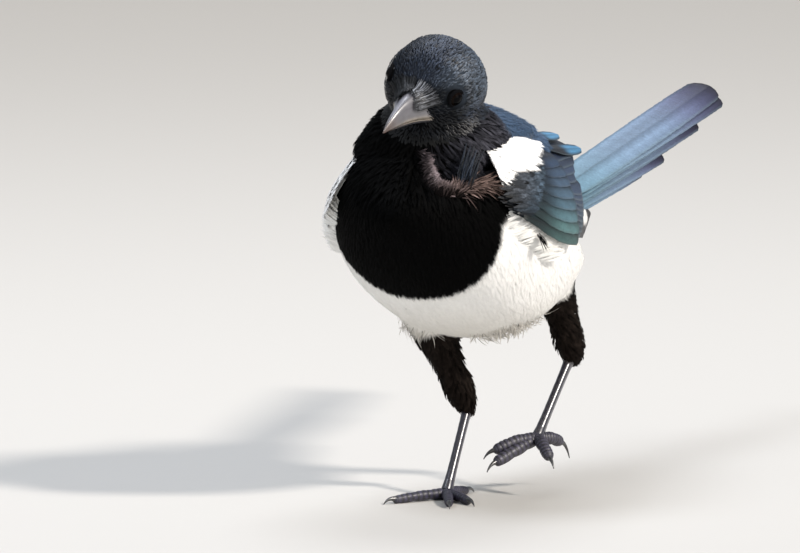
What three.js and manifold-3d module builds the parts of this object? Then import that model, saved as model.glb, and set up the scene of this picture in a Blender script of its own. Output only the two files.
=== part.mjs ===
// A Eurasian magpie in mid-stride, life size, in millimetres, +Z up.
// The bird faces -Y and its left side is +X. The origin is on the floor, under the
// ball of the right foot, which carries the bird. The left foot is lifted.

import * as THREE from 'three';
import { LoftGeometry } from 'three/addons/geometries/LoftGeometry.js';
import { mergeVertices } from 'three/addons/utils/BufferGeometryUtils.js';
import Module from 'manifold-3d';

const wasm = await Module();
wasm.setup();

// Driving dimensions
const gap = 0.3; // clear space between parts that touch
const midline = 8; // x of the trunk's midline
const breastY = -86; // front of the breast
const ventY = 88; // rear end of the trunk
const headAt = [13.5, -52, 193]; // middle of the feathered head
const headTurn = { yaw: -9, pitch: -20, roll: 19 }; // degrees
const headSize = { half: 22.5, up: 21.2, down: 21, back: 26, face: 19 };
const billLength = 25.5; // from the face to the tip
const billWidth = 13.2; // across the gape
const eyeRadius = 4.7;
const vaneThick = 0.55; // thickness of a flight or tail feather
const vaneStep = 0.9; // spacing of vanes that lie over one another
const vaneTilt = 0.22; // slope of each vane in a shingled tier
const quillWidth = 0.55; // a vane's width at its root, as a share of its widest
const tipWidth = 0.3; // and at its tip
const tailLength = 242; // middle pair of tail feathers, from the root
const tailRoot = [9.5, 70, 123];
const tailAim = { yaw: -0.4, pitch: 9.2, roll: 24 }; // degrees
const wingLength = 190; // from the bend of the wing to its tip
const tarsusThick = 4;
const toeThick = 4.8; // at the ball of the foot
const toeTip = 3.6; // thickness under the claw
const clawThick = 2.8; // at its root
const clawTip = 0.6;
const clawLength = 8.5;
const hindClawLength = 11;

const black = { color: 0x0b0b0e, roughness: 0.6 };
const white = { color: 0xe9e7e2, roughness: 0.85 };
const blue = { color: 0x16324c, roughness: 0.35 };
const teal = { color: 0x1d4650, roughness: 0.35 };
const horn = { color: 0x17161a, roughness: 0.35 };

const bird = new THREE.Group();

const vec = (x, y, z) => new THREE.Vector3(x, y, z);
const rad = THREE.MathUtils.degToRad;
const mix = THREE.MathUtils.lerp;

// Smooth curve through [place, value] pairs
function through(pairs) {
  const curve = new THREE.CubicInterpolant(
    pairs.map((p) => p[0]), pairs.map((p) => p[1]), 1);
  return (at) => curve.evaluate(at)[0];
}

// Solids

function signedVolume(points, triangles) {
  const corner = (k) => vec().fromArray(points, 3 * k);
  let sum = 0;
  for (let i = 0; i < triangles.length; i += 3) {
    const [a, b, c] = [0, 1, 2].map((k) => corner(triangles[i + k]));
    sum += a.dot(b.cross(c));
  }
  return sum;
}

// A closed geometry as a solid, turned to face outwards
function solidOf(geometry) {
  geometry.deleteAttribute('normal');
  geometry.deleteAttribute('uv');
  const merged = mergeVertices(new THREE.BufferGeometry().copy(geometry), 1e-4);
  const vertProperties = Float32Array.from(merged.attributes.position.array);
  const kept = [];
  for (let i = 0; i < merged.index.count; i += 3) {
    const [a, b, c] = [0, 1, 2].map((k) => merged.index.getX(i + k));
    if (a !== b && b !== c && c !== a) kept.push(a, b, c);
  }
  if (signedVolume(vertProperties, kept) < 0) kept.reverse();
  const triVerts = Uint32Array.from(kept);
  return new wasm.Manifold(new wasm.Mesh({ numProp: 3, vertProperties, triVerts }));
}

const joined = (solids) => solids.reduce((all, one) => all.add(one));

// Puts a solid in the bird as a named part, as its largest closed surface
function addPart(name, solid, finish) {
  const [body] = solid.decompose().sort((a, b) => b.volume() - a.volume());
  const mesh = body.getMesh();
  const geometry = new THREE.BufferGeometry();
  geometry.setAttribute('position', new THREE.Float32BufferAttribute(mesh.vertProperties, 3));
  geometry.setIndex(Array.from(mesh.triVerts));
  geometry.computeVertexNormals();
  const part = new THREE.Mesh(geometry, new THREE.MeshStandardMaterial({ metalness: 0, ...finish }));
  part.name = name;
  bird.add(part);
}

// One ring of a loft: an oval about a point, in the plane of two axes
function oval(centre, across, upward, { half, up, down = up, square = 2 }, sides) {
  const ring = [];
  for (let k = 0; k < sides; k += 1) {
    const angle = (2 * Math.PI * k) / sides;
    const soft = (value) => Math.sign(value) * Math.abs(value) ** (2 / square);
    const [c, s] = [soft(Math.cos(angle)), soft(Math.sin(angle))];
    ring.push(centre.clone()
      .addScaledVector(across, half * c)
      .addScaledVector(upward, (s > 0 ? up : down) * s));
  }
  return ring;
}

const loft = (rings) => solidOf(new LoftGeometry(rings, { capStart: true, capEnd: true }));

// A rounded limb along a list of [x, y, z, thickness] points
function limb(stops, sides) {
  const path = new THREE.CatmullRomCurve3(stops.map((p) => vec(...p)));
  const thick = through(stops.map((p, k) => [k / (stops.length - 1), p[3]]));
  const count = 2 * (stops.length - 1);
  const rings = [];
  for (let k = 0; k <= count; k += 1) {
    const t = k / count;
    const along = path.getTangent(t);
    const across = vec(1, 0.05, 0).cross(along).cross(along).normalize();
    const upward = along.clone().cross(across).normalize();
    const r = thick(t) / 2;
    rings.push(oval(path.getPoint(t), across, upward, { half: r, up: r }, sides));
  }
  return loft(rings);
}

// A thin plate over u from -1 to 1 and v from 0 to 1. Both faces share one way of
// splitting, so that a bent plate never crosses itself.
function plate(across, along, place, thick) {
  const face = new THREE.PlaneGeometry(2, 1, across, along);
  const grid = face.attributes.position;
  const count = grid.count;
  const points = [];
  for (const side of [0.5, -0.5]) {
    for (let k = 0; k < count; k += 1) {
      points.push(...place(grid.getX(k), grid.getY(k) + 0.5, side * thick).toArray());
    }
  }
  const front = Array.from(face.index.array);
  const rim = [];
  const row = across + 1;
  for (let k = 0; k < along; k += 1) rim.push(k * row);
  for (let k = 0; k < across; k += 1) rim.push(along * row + k);
  for (let k = along; k > 0; k -= 1) rim.push(k * row + across);
  for (let k = across; k > 0; k -= 1) rim.push(k);
  const back = front.map((k) => k + count).reverse();
  const edge = rim.flatMap((a, k) => {
    const b = rim[(k + 1) % rim.length];
    return [b, a, a + count, b, a + count, b + count];
  });
  const geometry = new THREE.BufferGeometry();
  geometry.setAttribute('position', new THREE.Float32BufferAttribute(points, 3));
  geometry.setIndex([...front, ...back, ...edge]);
  return solidOf(geometry);
}

// A feather vane laid on a surface given by lay(along, over, out). It runs from root to
// tip and bends towards its sag. Its tilt lifts its lower edge over the next vane.
function vane(lay, feather) {
  const { root, tip, width, out, sag = 0, tilt = 0, camber = 0.2, along = 4, even = 0 } = feather;
  const length = tip[0] - root[0];
  const lag = Math.min(0.6 * width, 0.2 * length) / length;
  return plate(2, along, (u, v, side) => {
    const reach = v ** 0.8 * (1 - lag * u * u * v ** 4);
    const swell = Math.sin(Math.PI * mix(0.2, 0.72, reach)) ** (1 - even);
    const quill = mix(quillWidth, 1, Math.min(1, 5 * v));
    const half = 0.5 * width * quill * mix(swell, (tipWidth + 0.15 * even) * (1 + u * u), v ** 8);
    const s = root[0] + reach * length;
    const h = mix(root[1], tip[1], reach) + 4 * sag * reach * (1 - reach) + u * half;
    return lay(s, h, out - tilt * u * half - camber * u * u + side);
  }, vaneThick);
}

// Trunk, in upright sections from the breast to the vent

const backLine = through([[breastY, 158], [-64, 172], [-38, 180], [-10, 184], [20, 177],
  [50, 159], [72, 145], [ventY, 136]]);
const bellyLine = through([[breastY, 120], [-64, 100], [-38, 87], [-10, 75], [20, 73],
  [50, 84], [72, 104], [ventY, 117]]);
const flankLine = through([[breastY, 30], [-64, 41], [-38, 48], [-10, 50], [20, 49.5],
  [50, 42], [72, 28], [ventY, 17]]);

function trunkForm(extra = 0) {
  const rows = 17;
  const rings = [];
  for (let k = 0; k <= rows; k += 1) {
    const t = (1 - Math.cos(Math.PI * mix(0.03, 0.97, k / rows))) / 2;
    const y = mix(breastY, ventY, t);
    const front = Math.min(1, t / 0.3);
    const rear = Math.min(1, (1 - t) / 0.12);
    const round = Math.sqrt((1 - (1 - front) ** 2) * (1 - (1 - rear) ** 2));
    const widest = mix(bellyLine(y), backLine(y), 0.46);
    rings.push(oval(vec(midline, y, widest), vec(-1, 0, 0), vec(0, 0, 1), {
      half: flankLine(y) * round + extra,
      up: (backLine(y) - widest) * round + extra,
      down: (widest - bellyLine(y)) * round + extra,
      square: 2.15,
    }, 26));
  }
  return loft(rings);
}

// Head, in a frame of its own: x to the bird's left, y forward, z to the crown

const headFrame = new THREE.Matrix4();
{
  const forward = vec(0, -1, 0)
    .applyAxisAngle(vec(1, 0, 0), rad(-headTurn.pitch))
    .applyAxisAngle(vec(0, 0, 1), rad(headTurn.yaw));
  const left = vec(1, 0, 0).applyAxisAngle(vec(0, 0, 1), rad(headTurn.yaw));
  left.addScaledVector(forward, -left.dot(forward)).normalize();
  left.applyAxisAngle(forward, rad(-headTurn.roll));
  const crown = forward.clone().cross(left);
  headFrame.makeBasis(left, forward, crown).setPosition(...headAt);
}
const onHead = (x, y, z) => vec(x, y, z).applyMatrix4(headFrame);
const headAxis = (x, y, z) => vec(x, y, z).transformDirection(headFrame);

const { half, up, down, back, face } = headSize;
const headHalf = through([[-back, 15], [-18, 20.5], [-6, half], [6, 21.5], [14, 16], [face, 8.5]]);
const headUp = through([[-back, 14], [-18, 19.6], [-6, up], [6, 20.2], [14, 14.5], [face, 7.4]]);
const headDown = through([[-back, 14], [-18, 19.5], [-6, down], [6, 18.5], [14, 14], [face, 9]]);

function headForm(extra = 0) {
  const rows = 13;
  const rings = [];
  for (let k = 0; k <= rows; k += 1) {
    const t = 1 - Math.cos((Math.PI / 2) * mix(0.05, 1, k / rows));
    const y = mix(-back, face, t);
    const rear = Math.min(1, t / 0.35);
    const round = Math.sqrt(1 - (1 - rear) ** 2);
    rings.push(oval(onHead(0, y, 0), headAxis(1, 0, 0), headAxis(0, 0, 1), {
      half: headHalf(y) * round + extra,
      up: headUp(y) * round + extra,
      down: headDown(y) * round + extra,
      square: 2.1,
    }, 24));
  }
  return loft(rings);
}

const eyeAt = (side) => [side * 14.2, 8.5, 5.5];

function ball(centre, radius, detail = 12) {
  const sphere = new THREE.SphereGeometry(radius, detail, detail - 4);
  return solidOf(sphere.translate(centre.x, centre.y, centre.z));
}

// Lids: a ring round the eye, square to the way the eye looks
function lids(side) {
  const ring = new THREE.TorusGeometry(4.3, 1.15, 6, 16);
  const look = headAxis(side * 0.93, 0.36, 0.06);
  ring.applyQuaternion(new THREE.Quaternion().setFromUnitVectors(vec(0, 0, 1), look));
  const at = onHead(...eyeAt(side)).addScaledVector(look, 2.1);
  return solidOf(ring.translate(at.x, at.y, at.z));
}

// Bristles that cover the nostrils, as a fan of narrow vanes over the bill's base
function bristles(side) {
  const fan = [];
  for (let k = 0; k < 5; k += 1) {
    const lift = mix(-1.5, 7.6, k / 4);
    const lay = (s, h, n) => onHead(
      side * (6.6 - lift * 0.44 + n - 0.035 * s + 0.12 * h),
      face - 5 + s, lift + 0.9 + h - 0.09 * s);
    fan.push(vane(lay, { root: [0, 0], tip: [mix(15, 10.5, k / 4), -0.6], width: 2.3, out: 1.1,
      camber: 0.1, along: 3 }));
  }
  return fan;
}

const culmen = through([[0, 7.4], [0.35, 6], [0.7, 3.1], [1, -1.2]]);
const chin = through([[0, 4.3], [0.35, 3.8], [0.7, 2.3], [1, 0.1]]);
const billHalf = through([[0, billWidth / 2], [0.35, 4.7], [0.7, 2.6], [1, 0.35]]);
const mouthLine = (t) => -3.8 + 2.6 * Math.sin(Math.PI * t * 0.55) - 0.8 * t * t;

// One half of the bill: rings from the face to the tip, flat along the mouth line
function billHalfForm(upper, start = 0, rows = 8) {
  const reach = upper ? billLength : billLength - 1.6;
  const rings = [];
  for (let k = 0; k <= rows; k += 1) {
    const t = k / rows;
    const y = face + gap + start + t * (reach - start);
    const mouth = mouthLine(t);
    const centre = onHead(0, y, mouth + (upper ? 0.5 : -0.5) * gap);
    const height = Math.max(upper ? culmen(t) - mouth : chin(t), 0.35);
    const ring = [];
    const sides = 12;
    for (let i = 0; i <= sides / 2 + 2; i += 1) {
      const angle = (Math.PI * i) / (sides / 2 + 2);
      const peak = Math.sin(angle) ** 0.85;
      const wide = billHalf(t) * Math.cos(angle) * (1 - 0.25 * peak);
      ring.push(centre.clone().addScaledVector(headAxis(1, 0, 0), wide)
        .addScaledVector(headAxis(0, 0, 1), (upper ? 1 : -1) * height * peak));
    }
    rings.push(upper ? ring : ring.reverse());
  }
  return loft(rings);
}

function buildHead() {
  let head = joined([headForm(), lids(1), lids(-1), ...bristles(1), ...bristles(-1)]);
  for (const side of [1, -1]) {
    head = head.subtract(ball(onHead(...eyeAt(side)), eyeRadius + gap));
    // the gape runs back from the bill as a narrow slit
    const slit = new THREE.BoxGeometry(3, 9, 0.5);
    slit.applyMatrix4(new THREE.Matrix4().makeRotationZ(side * 0.45)
      .setPosition(side * 9.2, face - 5.5, mouthLine(0) - 0.4));
    head = head.subtract(solidOf(slit.applyMatrix4(headFrame)));
    const eye = ball(onHead(...eyeAt(side)), eyeRadius, 14);
    addPart(side > 0 ? 'eye_left' : 'eye_right', eye, { color: 0x140d09, roughness: 0.05 });
  }
  addPart('head', head, black);
  let upper = billHalfForm(true);
  for (const side of [1, -1]) {
    const nostril = new THREE.SphereGeometry(1, 8, 6).scale(1.1, 1.7, 0.8)
      .translate(side * 4.6, face + 5, 1.4).applyMatrix4(headFrame);
    upper = upper.subtract(solidOf(nostril));
  }
  addPart('bill_upper', upper, horn);
  addPart('bill_lower', billHalfForm(false), horn);
}

// Neck, from inside the trunk to inside the head

function neckForm() {
  const stops = [
    { at: [8, -26, 150], lean: 0, half: 42, up: 34 },
    { at: [8, -38, 166], lean: 24, half: 38, up: 31 },
    { at: [10, -45, 178], lean: 24, half: 28, up: 26 },
    { at: [12.5, -48, 188], lean: 20, half: 20, up: 20 },
    { at: [14, -50, 196], lean: 14, half: 14, up: 14 },
  ];
  return loft(stops.map(({ at, lean, half: wide, up: deep }) => oval(
    vec(...at), vec(1, 0, 0), vec(0, Math.cos(rad(lean)), Math.sin(rad(lean))),
    { half: wide, up: deep }, 24)));
}

// Folded wing. A point of the wing lies along (from the bend to the tip), over (up across
// the wing) and out (away from the trunk).

const wingMiddle = 148; // height of the wing's middle line at the bend
const rightWingDrop = 6; // the right wing is held lower
const wingRound = 48; // how the wing curls in over the back
const wingPlan = through([[-64, 20], [-58, 25], [-45, 31.5], [-20, 36.5], [10, 36], [40, 31],
  [75, 22.5], [110, 14.5], [140, 9]]);
const wingTilt = through([[-60, 30], [0, 27], [60, 18], [140, 6]]); // degrees it leans in
const wingDrop = through([[-60, 0], [-20, -5], [10, -10], [40, -15], [75, -19], [110, -22], [140, -24]]);

function wingLay(side) {
  const drop = side > 0 ? 0 : rightWingDrop;
  return (s, h, n) => {
    const y = s - 60;
    const slope = (wingPlan(y + 1) - wingPlan(y - 1)) / 2;
    const outward = vec(side, -slope, 0).normalize();
    const lean = rad(wingTilt(y));
    const turn = lean + h / wingRound;
    const reach = wingRound + n;
    return vec(midline + side * wingPlan(y), y, wingMiddle - drop + wingDrop(y))
      .addScaledVector(outward, reach * Math.cos(turn) - wingRound * Math.cos(lean))
      .addScaledVector(vec(0, 0, 1), reach * Math.sin(turn) - wingRound * Math.sin(lean));
  };
}

// A pad that the roots of a tier of feathers are sunk in
function rootPad(lay, { from, to, low, high, inner, outer }) {
  return plate(4, 4, (u, v, side) => {
    const round = Math.sqrt(1 - 0.75 * (2 * v - 1) ** 4);
    const s = mix(from, to, v);
    const h = mix(mix(...low, v), mix(...high, v), (1 + u * round) / 2);
    return lay(s, h, side > 0 ? outer : inner);
  }, 1);
}

const tier = (count, make) => Array.from({ length: count }, (_, k) => make(k, k / (count - 1)));

// Levels out from the trunk that each tier keeps to, lowest and highest
const primaryLevels = [0.6, 6];
const secondaryLevels = [6.5, 10.4];
const covertLevels = [10.9, 13.4];
const scapularLevels = [13.8, 16.4];
const middleOf = ([low, high]) => (low + high) / 2;

function buildWing(side, name) {
  const lay = wingLay(side);
  // primaries: the outermost lies deepest and lowest
  const primaries = tier(6, (k, t) => vane(lay, {
    root: [34 + 3 * k, -9 + 1.6 * k], tip: [mix(wingLength - 4, 140, t ** 1.3), mix(-6, -9, t)],
    sag: mix(-4.5, -1.5, t), width: mix(10, 16, t), out: primaryLevels[0] + vaneThick + vaneStep * k,
    camber: 0, along: 6 }));
  const primaryPad = rootPad(lay, { from: 28, to: 66, low: [-12, -14], high: [2, 4],
    inner: primaryLevels[0], outer: primaryLevels[1] - 2 * gap });
  addPart(`${name}_primaries`, joined([primaryPad, ...primaries]), black);
  // secondaries and tertials: each upper one lies over the edge of the next
  const secondaries = tier(6, (k, t) => {
    const middle = mix(-12, 8, t);
    return vane(lay, {
      root: [34 + 5 * k, mix(-7, 3, t)], tip: [mix(80, 128, t ** 0.7), middle - 2],
      sag: mix(-3, 2, t), width: 15, out: middleOf(secondaryLevels), tilt: vaneTilt, along: 3 });
  });
  const tertials = tier(3, (k, t) => vane(lay, {
    root: [58 + 3 * k, mix(8, 13, t)], tip: [mix(130, 160, t), mix(13, 22, t)],
    sag: mix(2, 5, t), width: 13, out: middleOf(secondaryLevels), tilt: vaneTilt, along: 3 }));
  const secondaryPad = rootPad(lay, { from: 30, to: 76, low: [-11, -14], high: [13, 20],
    inner: secondaryLevels[0], outer: secondaryLevels[1] });
  addPart(`${name}_secondaries`, joined([secondaryPad, ...secondaries, ...tertials]), blue);
  // coverts: a pad for the small feathers of the bend, then the greater coverts
  const covertPad = rootPad(lay, { from: 6, to: 52, low: [-3, -21], high: [6, 17],
    inner: covertLevels[0], outer: covertLevels[1] });
  const coverts = tier(8, (k, t) => vane(lay, {
    root: [34 + 2 * k, mix(-14, 8, t)], tip: [mix(62, 80, t), mix(-18, 14, t)],
    sag: mix(-2, 1, t), width: 9.5, out: middleOf(covertLevels), tilt: vaneTilt, along: 2 }));
  addPart(`${name}_coverts`, joined([covertPad, ...coverts]), teal);
}

function buildScapulars(side, name) {
  const lay = wingLay(side);
  const pad = rootPad(lay, { from: 8, to: 34, low: [-5, 2], high: [10, 17],
    inner: scapularLevels[0], outer: scapularLevels[1] });
  const vanes = tier(6, (k, t) => vane(lay, {
    root: [12 + 3 * k, mix(-1, 12, t)], tip: [mix(25, 64, t), mix(-3, 16, t)],
    sag: 1, width: 9, out: middleOf(scapularLevels), tilt: vaneTilt, along: 3 }));
  addPart(name, joined([pad, ...vanes]), white);
}

// Room for the wing in the trunk and neck
const roomTop = through([[1, 8], [30, 20], [60, 24], [95, 32], [132, 32], [200, 8]]);
const roomLow = through([[1, -10], [30, -21], [70, -24], [95, -24], [132, -21], [200, -15]]);

function wingRoom(side) {
  const lay = wingLay(side);
  return plate(6, 12, (u, v, face) => {
    const s = mix(1.5, wingLength + 6, v);
    const h = mix(roomLow(s), roomTop(s), (1 + u) / 2);
    return lay(s, h, face > 0 ? 30 : primaryLevels[0] - 4 * gap);
  }, 1);
}

// Tail: twelve feathers in six graded pairs, the middle pair uppermost

const tailFrame = new THREE.Matrix4();
{
  const turn = new THREE.Euler(rad(tailAim.pitch), rad(tailAim.roll), rad(tailAim.yaw), 'ZXY');
  tailFrame.makeRotationFromEuler(turn).setPosition(...tailRoot);
}
const onTail = (x, y, z) => vec(x, y, z).applyMatrix4(tailFrame);

function buildTail() {
  const pairs = 6;
  const vanes = [];
  const roof = (s, h, n) => onTail(h, s, n - 0.006 * h * h);
  for (let k = 0; k < pairs; k += 1) {
    const t = k / (pairs - 1);
    const length = tailLength * mix(1, 0.52, t ** 1.15);
    // the left side is fanned a little, the right side is closed under the middle pair
    for (const side of [-1, 1]) {
      const middle = k === 0;
      const spread = side > 0 ? mix(6, 12, t) + (k % 2 ? -1 : 1) : -mix(1.6, 1, t);
      vanes.push(vane(roof, {
        root: [0, middle ? 0 : side * (1.5 + 0.7 * k)],
        tip: [middle && side > 0 ? length - 5 : length, spread],
        width: middle ? 14 : mix(13, 11.5, t), out: -vaneStep * (middle && side < 0 ? 0 : k + 1),
        along: middle ? 7 : 5, even: 0.75 }));
    }
  }
  const depth = vaneStep * pairs;
  const stump = loft([[-5, 5], [6, 7], [22, 7], [44, 3.2]].map(([y, r]) => oval(
    onTail(0, y, -depth / 2), vec(-1, 0, 0).transformDirection(tailFrame),
    vec(0, 0, 1).transformDirection(tailFrame), { half: r * 1.15, up: r }, 12)));
  addPart('tail', joined([stump, ...vanes]), blue);
}

// Legs

const footBall = 3.3; // radius of the knob where the toes meet
const rightFootAt = [0, 0, 2.9];

const rightLeg = { ankle: [1, 25, 42], ball: [0, 0, 3.6], thigh: [-8, 3, 78], rear: [1.5, 25, 36] };
const leftLeg = { ankle: [35, 66, 60], ball: [29.5, 37, 25], thigh: [34, 48, 92], rear: [36, 68, 56] };

function thighForm(leg, wide) {
  const [a, b] = [vec(...leg.thigh), vec(...leg.rear)];
  const at = (t, r) => [...a.clone().lerp(b, t).toArray(), r];
  return limb([at(-0.35, 30), at(0, wide), at(0.4, 15.5), at(0.8, 15), at(1.0, 9)], 14);
}

// Tarsus, with broad scutes down its front as steps in its outline
function tarsusForm(leg, extra = 0) {
  const [top, end] = [vec(...leg.ankle), vec(...leg.ball)];
  const along = end.clone().sub(top).normalize();
  const across = vec(1, 0, 0).addScaledVector(along, -along.x).normalize();
  const upward = along.clone().cross(across);
  const scutes = 9;
  const rings = [];
  for (let k = 0; k < scutes; k += 1) {
    for (const [step, swell] of [[0.02, 1.08], [0.92, 0.97]]) {
      const t = mix(0.1, 0.912, (k + step) / scutes);
      const r = (tarsusThick / 2) * swell * (1 + 0.35 * (2 * t - 1) ** 4) + extra;
      const at = top.clone().lerp(end, t).addScaledVector(along, k === 0 ? -extra : 0);
      rings.push(oval(at, across, upward, { half: r, up: r * 1.25 }, 8));
    }
  }
  return loft(rings);
}

const rightToes = {
  inner: [[26, -24], 22], middle: [[14, -32], 28], outer: [[-21, -31], 28], hind: [[3, 28], 18],
};

// A toe on the floor, arched a little between its pads, from the ball towards its claw
function toePath(ball, [reachX, reachY], length, joints) {
  const way = vec(reachX, reachY, 0).normalize();
  const low = toeThick / 2 - 0.15;
  const stops = [[...vec(...ball).toArray(), toeThick * 1.05]];
  for (let k = 1; k <= joints; k += 1) {
    const t = k / joints;
    const at = vec(ball[0], ball[1], 0).addScaledVector(way, t * length);
    const lift = k < joints ? 0.5 * Math.sin(Math.PI * t) : 0;
    stops.push([at.x, at.y, mix(low + 0.2, toeTip / 2 - 0.1, t) + lift, mix(toeThick, toeTip, t)]);
  }
  return { stops, way };
}

const clawArch = (t) => 0.9 * Math.sin(Math.PI * t * 0.75);

// A claw: a curved cone from the end of a toe, its tip down
function claw(from, way, drop, length) {
  const stops = [0, 0.35, 0.7, 1].map((t) => {
    const at = from.clone().addScaledVector(way, length * t * (1 - 0.25 * t))
      .addScaledVector(vec(0, 0, 1), clawArch(t) + drop * length * t * t);
    return [...at.toArray(), mix(clawThick, clawTip, t ** 0.9)];
  });
  return limb(stops, 6);
}

const above = solidOf(new THREE.BoxGeometry(400, 400, 200).translate(0, 0, 100));

function buildRightFoot() {
  const toes = [ball(vec(...rightFootAt), footBall, 12)];
  for (const [name, [reach, length]] of Object.entries(rightToes)) {
    const { stops, way } = toePath([0, 0, 2.6], reach, length, 4);
    toes.push(limb(stops, 7));
    const end = vec(...stops.at(-1).slice(0, 3));
    // the tip of each claw rests on the floor, on a small flat
    const start = end.clone().addScaledVector(way, gap + 0.3).setZ(2);
    const hookLength = name === 'hind' ? hindClawLength : clawLength;
    const fall = clawTip / 4 - start.z - clawArch(1);
    const hook = claw(start, way, fall / hookLength, hookLength);
    addPart(`claw_right_${name}`, hook.intersect(above), horn);
  }
  addPart('foot_right', joined(toes).intersect(above), horn);
}

const leftToes = {
  inner: { via: [22.5, 25, 24], tip: [16.5, 19, 21], down: -0.25 },
  middle: { via: [25.5, 25, 21.5], tip: [19.5, 12.5, 16.5], down: -0.28 },
  outer: { via: [36, 28, 22.5], tip: [40.5, 23.5, 18.5], down: -0.2 },
  hind: { via: [33.5, 45, 24], tip: [35, 51, 22], down: -0.55 },
};

function buildLeftFoot() {
  const root = leftLeg.ball;
  const toes = [ball(vec(...root), footBall, 12)];
  for (const [name, { via, tip, down: drop }] of Object.entries(leftToes)) {
    toes.push(limb([[...root, toeThick], [...via, mix(toeThick, toeTip, 0.4)], [...tip, toeTip]], 7));
    const way = vec(...tip).sub(vec(...via)).normalize();
    const start = vec(...tip).addScaledVector(way, gap + 0.3);
    const hookLength = name === 'hind' ? hindClawLength - 0.5 : clawLength;
    addPart(`claw_left_${name}`, claw(start, way, drop, hookLength), horn);
  }
  addPart('foot_left', joined(toes), horn);
}

// Putting the bird together

const trunk = trunkForm();
const room = [wingRoom(1), wingRoom(-1)];
const tailRoom = loft([[-8, 8], [6, 10], [20, 14], [40, 17]].map(([y, wide]) => oval(
  onTail(0, y, -2.7), vec(-1, 0, 0).transformDirection(tailFrame),
  vec(0, 0, 1).transformDirection(tailFrame), { half: wide, up: 9 }, 14)));
const thighRight = thighForm(rightLeg, 23);
const thighLeft = thighForm(leftLeg, 20);
let torso = trunk.subtract(tailRoom).subtract(headForm(gap));
for (const r of room) torso = torso.subtract(r);
addPart('torso', torso, black);
const trunkRoom = trunkForm(gap);
let neck = neckForm().subtract(trunkRoom).subtract(headForm(gap));
for (const r of room) neck = neck.subtract(r);
addPart('neck', neck, black);
buildHead();
buildWing(1, 'wing_left');
buildWing(-1, 'wing_right');
buildScapulars(1, 'scapulars_left');
buildScapulars(-1, 'scapulars_right');
buildTail();
addPart('thigh_right', thighRight.subtract(trunkRoom).subtract(tarsusForm(rightLeg, gap)), black);
addPart('thigh_left', thighLeft.subtract(trunkRoom).subtract(tarsusForm(leftLeg, gap)), black);
addPart('tarsus_right', tarsusForm(rightLeg).subtract(ball(vec(...rightFootAt), footBall + gap, 12)), horn);
addPart('tarsus_left', tarsusForm(leftLeg).subtract(ball(vec(...leftLeg.ball), footBall + gap, 12)), horn);
buildRightFoot();
buildLeftFoot();

export default bird;
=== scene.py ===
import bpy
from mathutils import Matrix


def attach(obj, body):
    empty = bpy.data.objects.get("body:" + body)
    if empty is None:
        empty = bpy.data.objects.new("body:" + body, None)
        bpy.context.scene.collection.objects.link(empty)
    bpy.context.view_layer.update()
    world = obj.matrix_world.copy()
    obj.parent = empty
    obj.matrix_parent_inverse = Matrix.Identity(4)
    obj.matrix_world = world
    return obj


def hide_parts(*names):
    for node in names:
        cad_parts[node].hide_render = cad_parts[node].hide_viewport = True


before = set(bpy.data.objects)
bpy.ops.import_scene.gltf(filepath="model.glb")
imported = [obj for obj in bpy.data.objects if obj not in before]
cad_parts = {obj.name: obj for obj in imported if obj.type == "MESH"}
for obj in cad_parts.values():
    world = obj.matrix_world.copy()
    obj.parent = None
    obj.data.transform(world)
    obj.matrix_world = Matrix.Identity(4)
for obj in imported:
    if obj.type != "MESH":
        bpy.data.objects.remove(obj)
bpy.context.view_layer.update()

import itertools
import math

import bpy
import numpy as np
from mathutils import Matrix, Vector
from mathutils.bvhtree import BVHTree

# A magpie in mid-stride. All forms are worked out in millimetres, in the frame's axes:
# the bird faces -Y, its left is +X, and the floor is at zero.
scale = 0.001  # metres in a millimetre
rng = np.random.default_rng(5)


# Camera: a long lens, a little above the bird's middle. Lens and sensor are in millimetres.
camera = {"azimuth": 22, "elevation": 6.5, "distance": 5.0, "aside": -0.02136, "above": 0.10114,
          "lens": 495, "sensor": 36}


def addObject(name, data):
    made = bpy.data.objects.new(name, data)
    bpy.context.collection.objects.link(made)
    return made


def placeCamera(azimuth, elevation, distance, aside, above, lens, sensor):
    a, e = math.radians(azimuth), math.radians(elevation)
    right = Vector((math.cos(a), math.sin(a), 0))
    back = Vector((math.sin(a) * math.cos(e), -math.cos(a) * math.cos(e), math.sin(e)))
    up = back.cross(right)
    data = bpy.data.cameras.new("camera")
    data.lens = lens
    data.sensor_width = sensor
    made = addObject("camera", data)
    made.location = back * distance + right * aside + up * above
    made.rotation_euler = Matrix((right, up, back)).transposed().to_euler()
    bpy.context.scene.camera = made
    return right, back


viewRight, viewBack = placeCamera(**camera)
print("camera placed")


# Small maths

def vec(x, y, z):
    return np.array([x, y, z], float)


def lengths(v):
    return np.linalg.norm(v, axis=-1)


def unit(v):
    return v / np.maximum(lengths(v)[..., None], 1e-9)


def mix(a, b, t):
    return a + (b - a) * t


def step(low, high, x):
    t = np.clip((x - low) / (high - low), 0, 1)
    return t * t * (3 - 2 * t)


def turned(v, axis, degrees):
    return np.array(Matrix.Rotation(math.radians(degrees), 3, Vector(axis)) @ Vector(v))


# Smooth curve through (place, value) pairs, flat beyond its ends
def through(pairs):
    xs = np.array([p[0] for p in pairs], float)
    ys = np.array([p[1] for p in pairs], float)
    slope = np.gradient(ys, xs)

    def at(x):
        x = np.clip(np.asarray(x, float), xs[0], xs[-1])
        k = np.clip(np.searchsorted(xs, x, side="right") - 1, 0, len(xs) - 2)
        gap = xs[k + 1] - xs[k]
        t = (x - xs[k]) / gap
        a, b = slope[k] * gap, slope[k + 1] * gap
        rise = ys[k + 1] - ys[k]
        return ys[k] + t * (a + t * (3 * rise - 2 * a - b + t * (a + b - 2 * rise)))

    return at


def linear(code):
    parts = np.array([int(code[i:i + 2], 16) for i in (0, 2, 4)]) / 255
    return np.where(parts <= 0.04045, parts / 12.92, ((parts + 0.055) / 1.055) ** 2.4)


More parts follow.
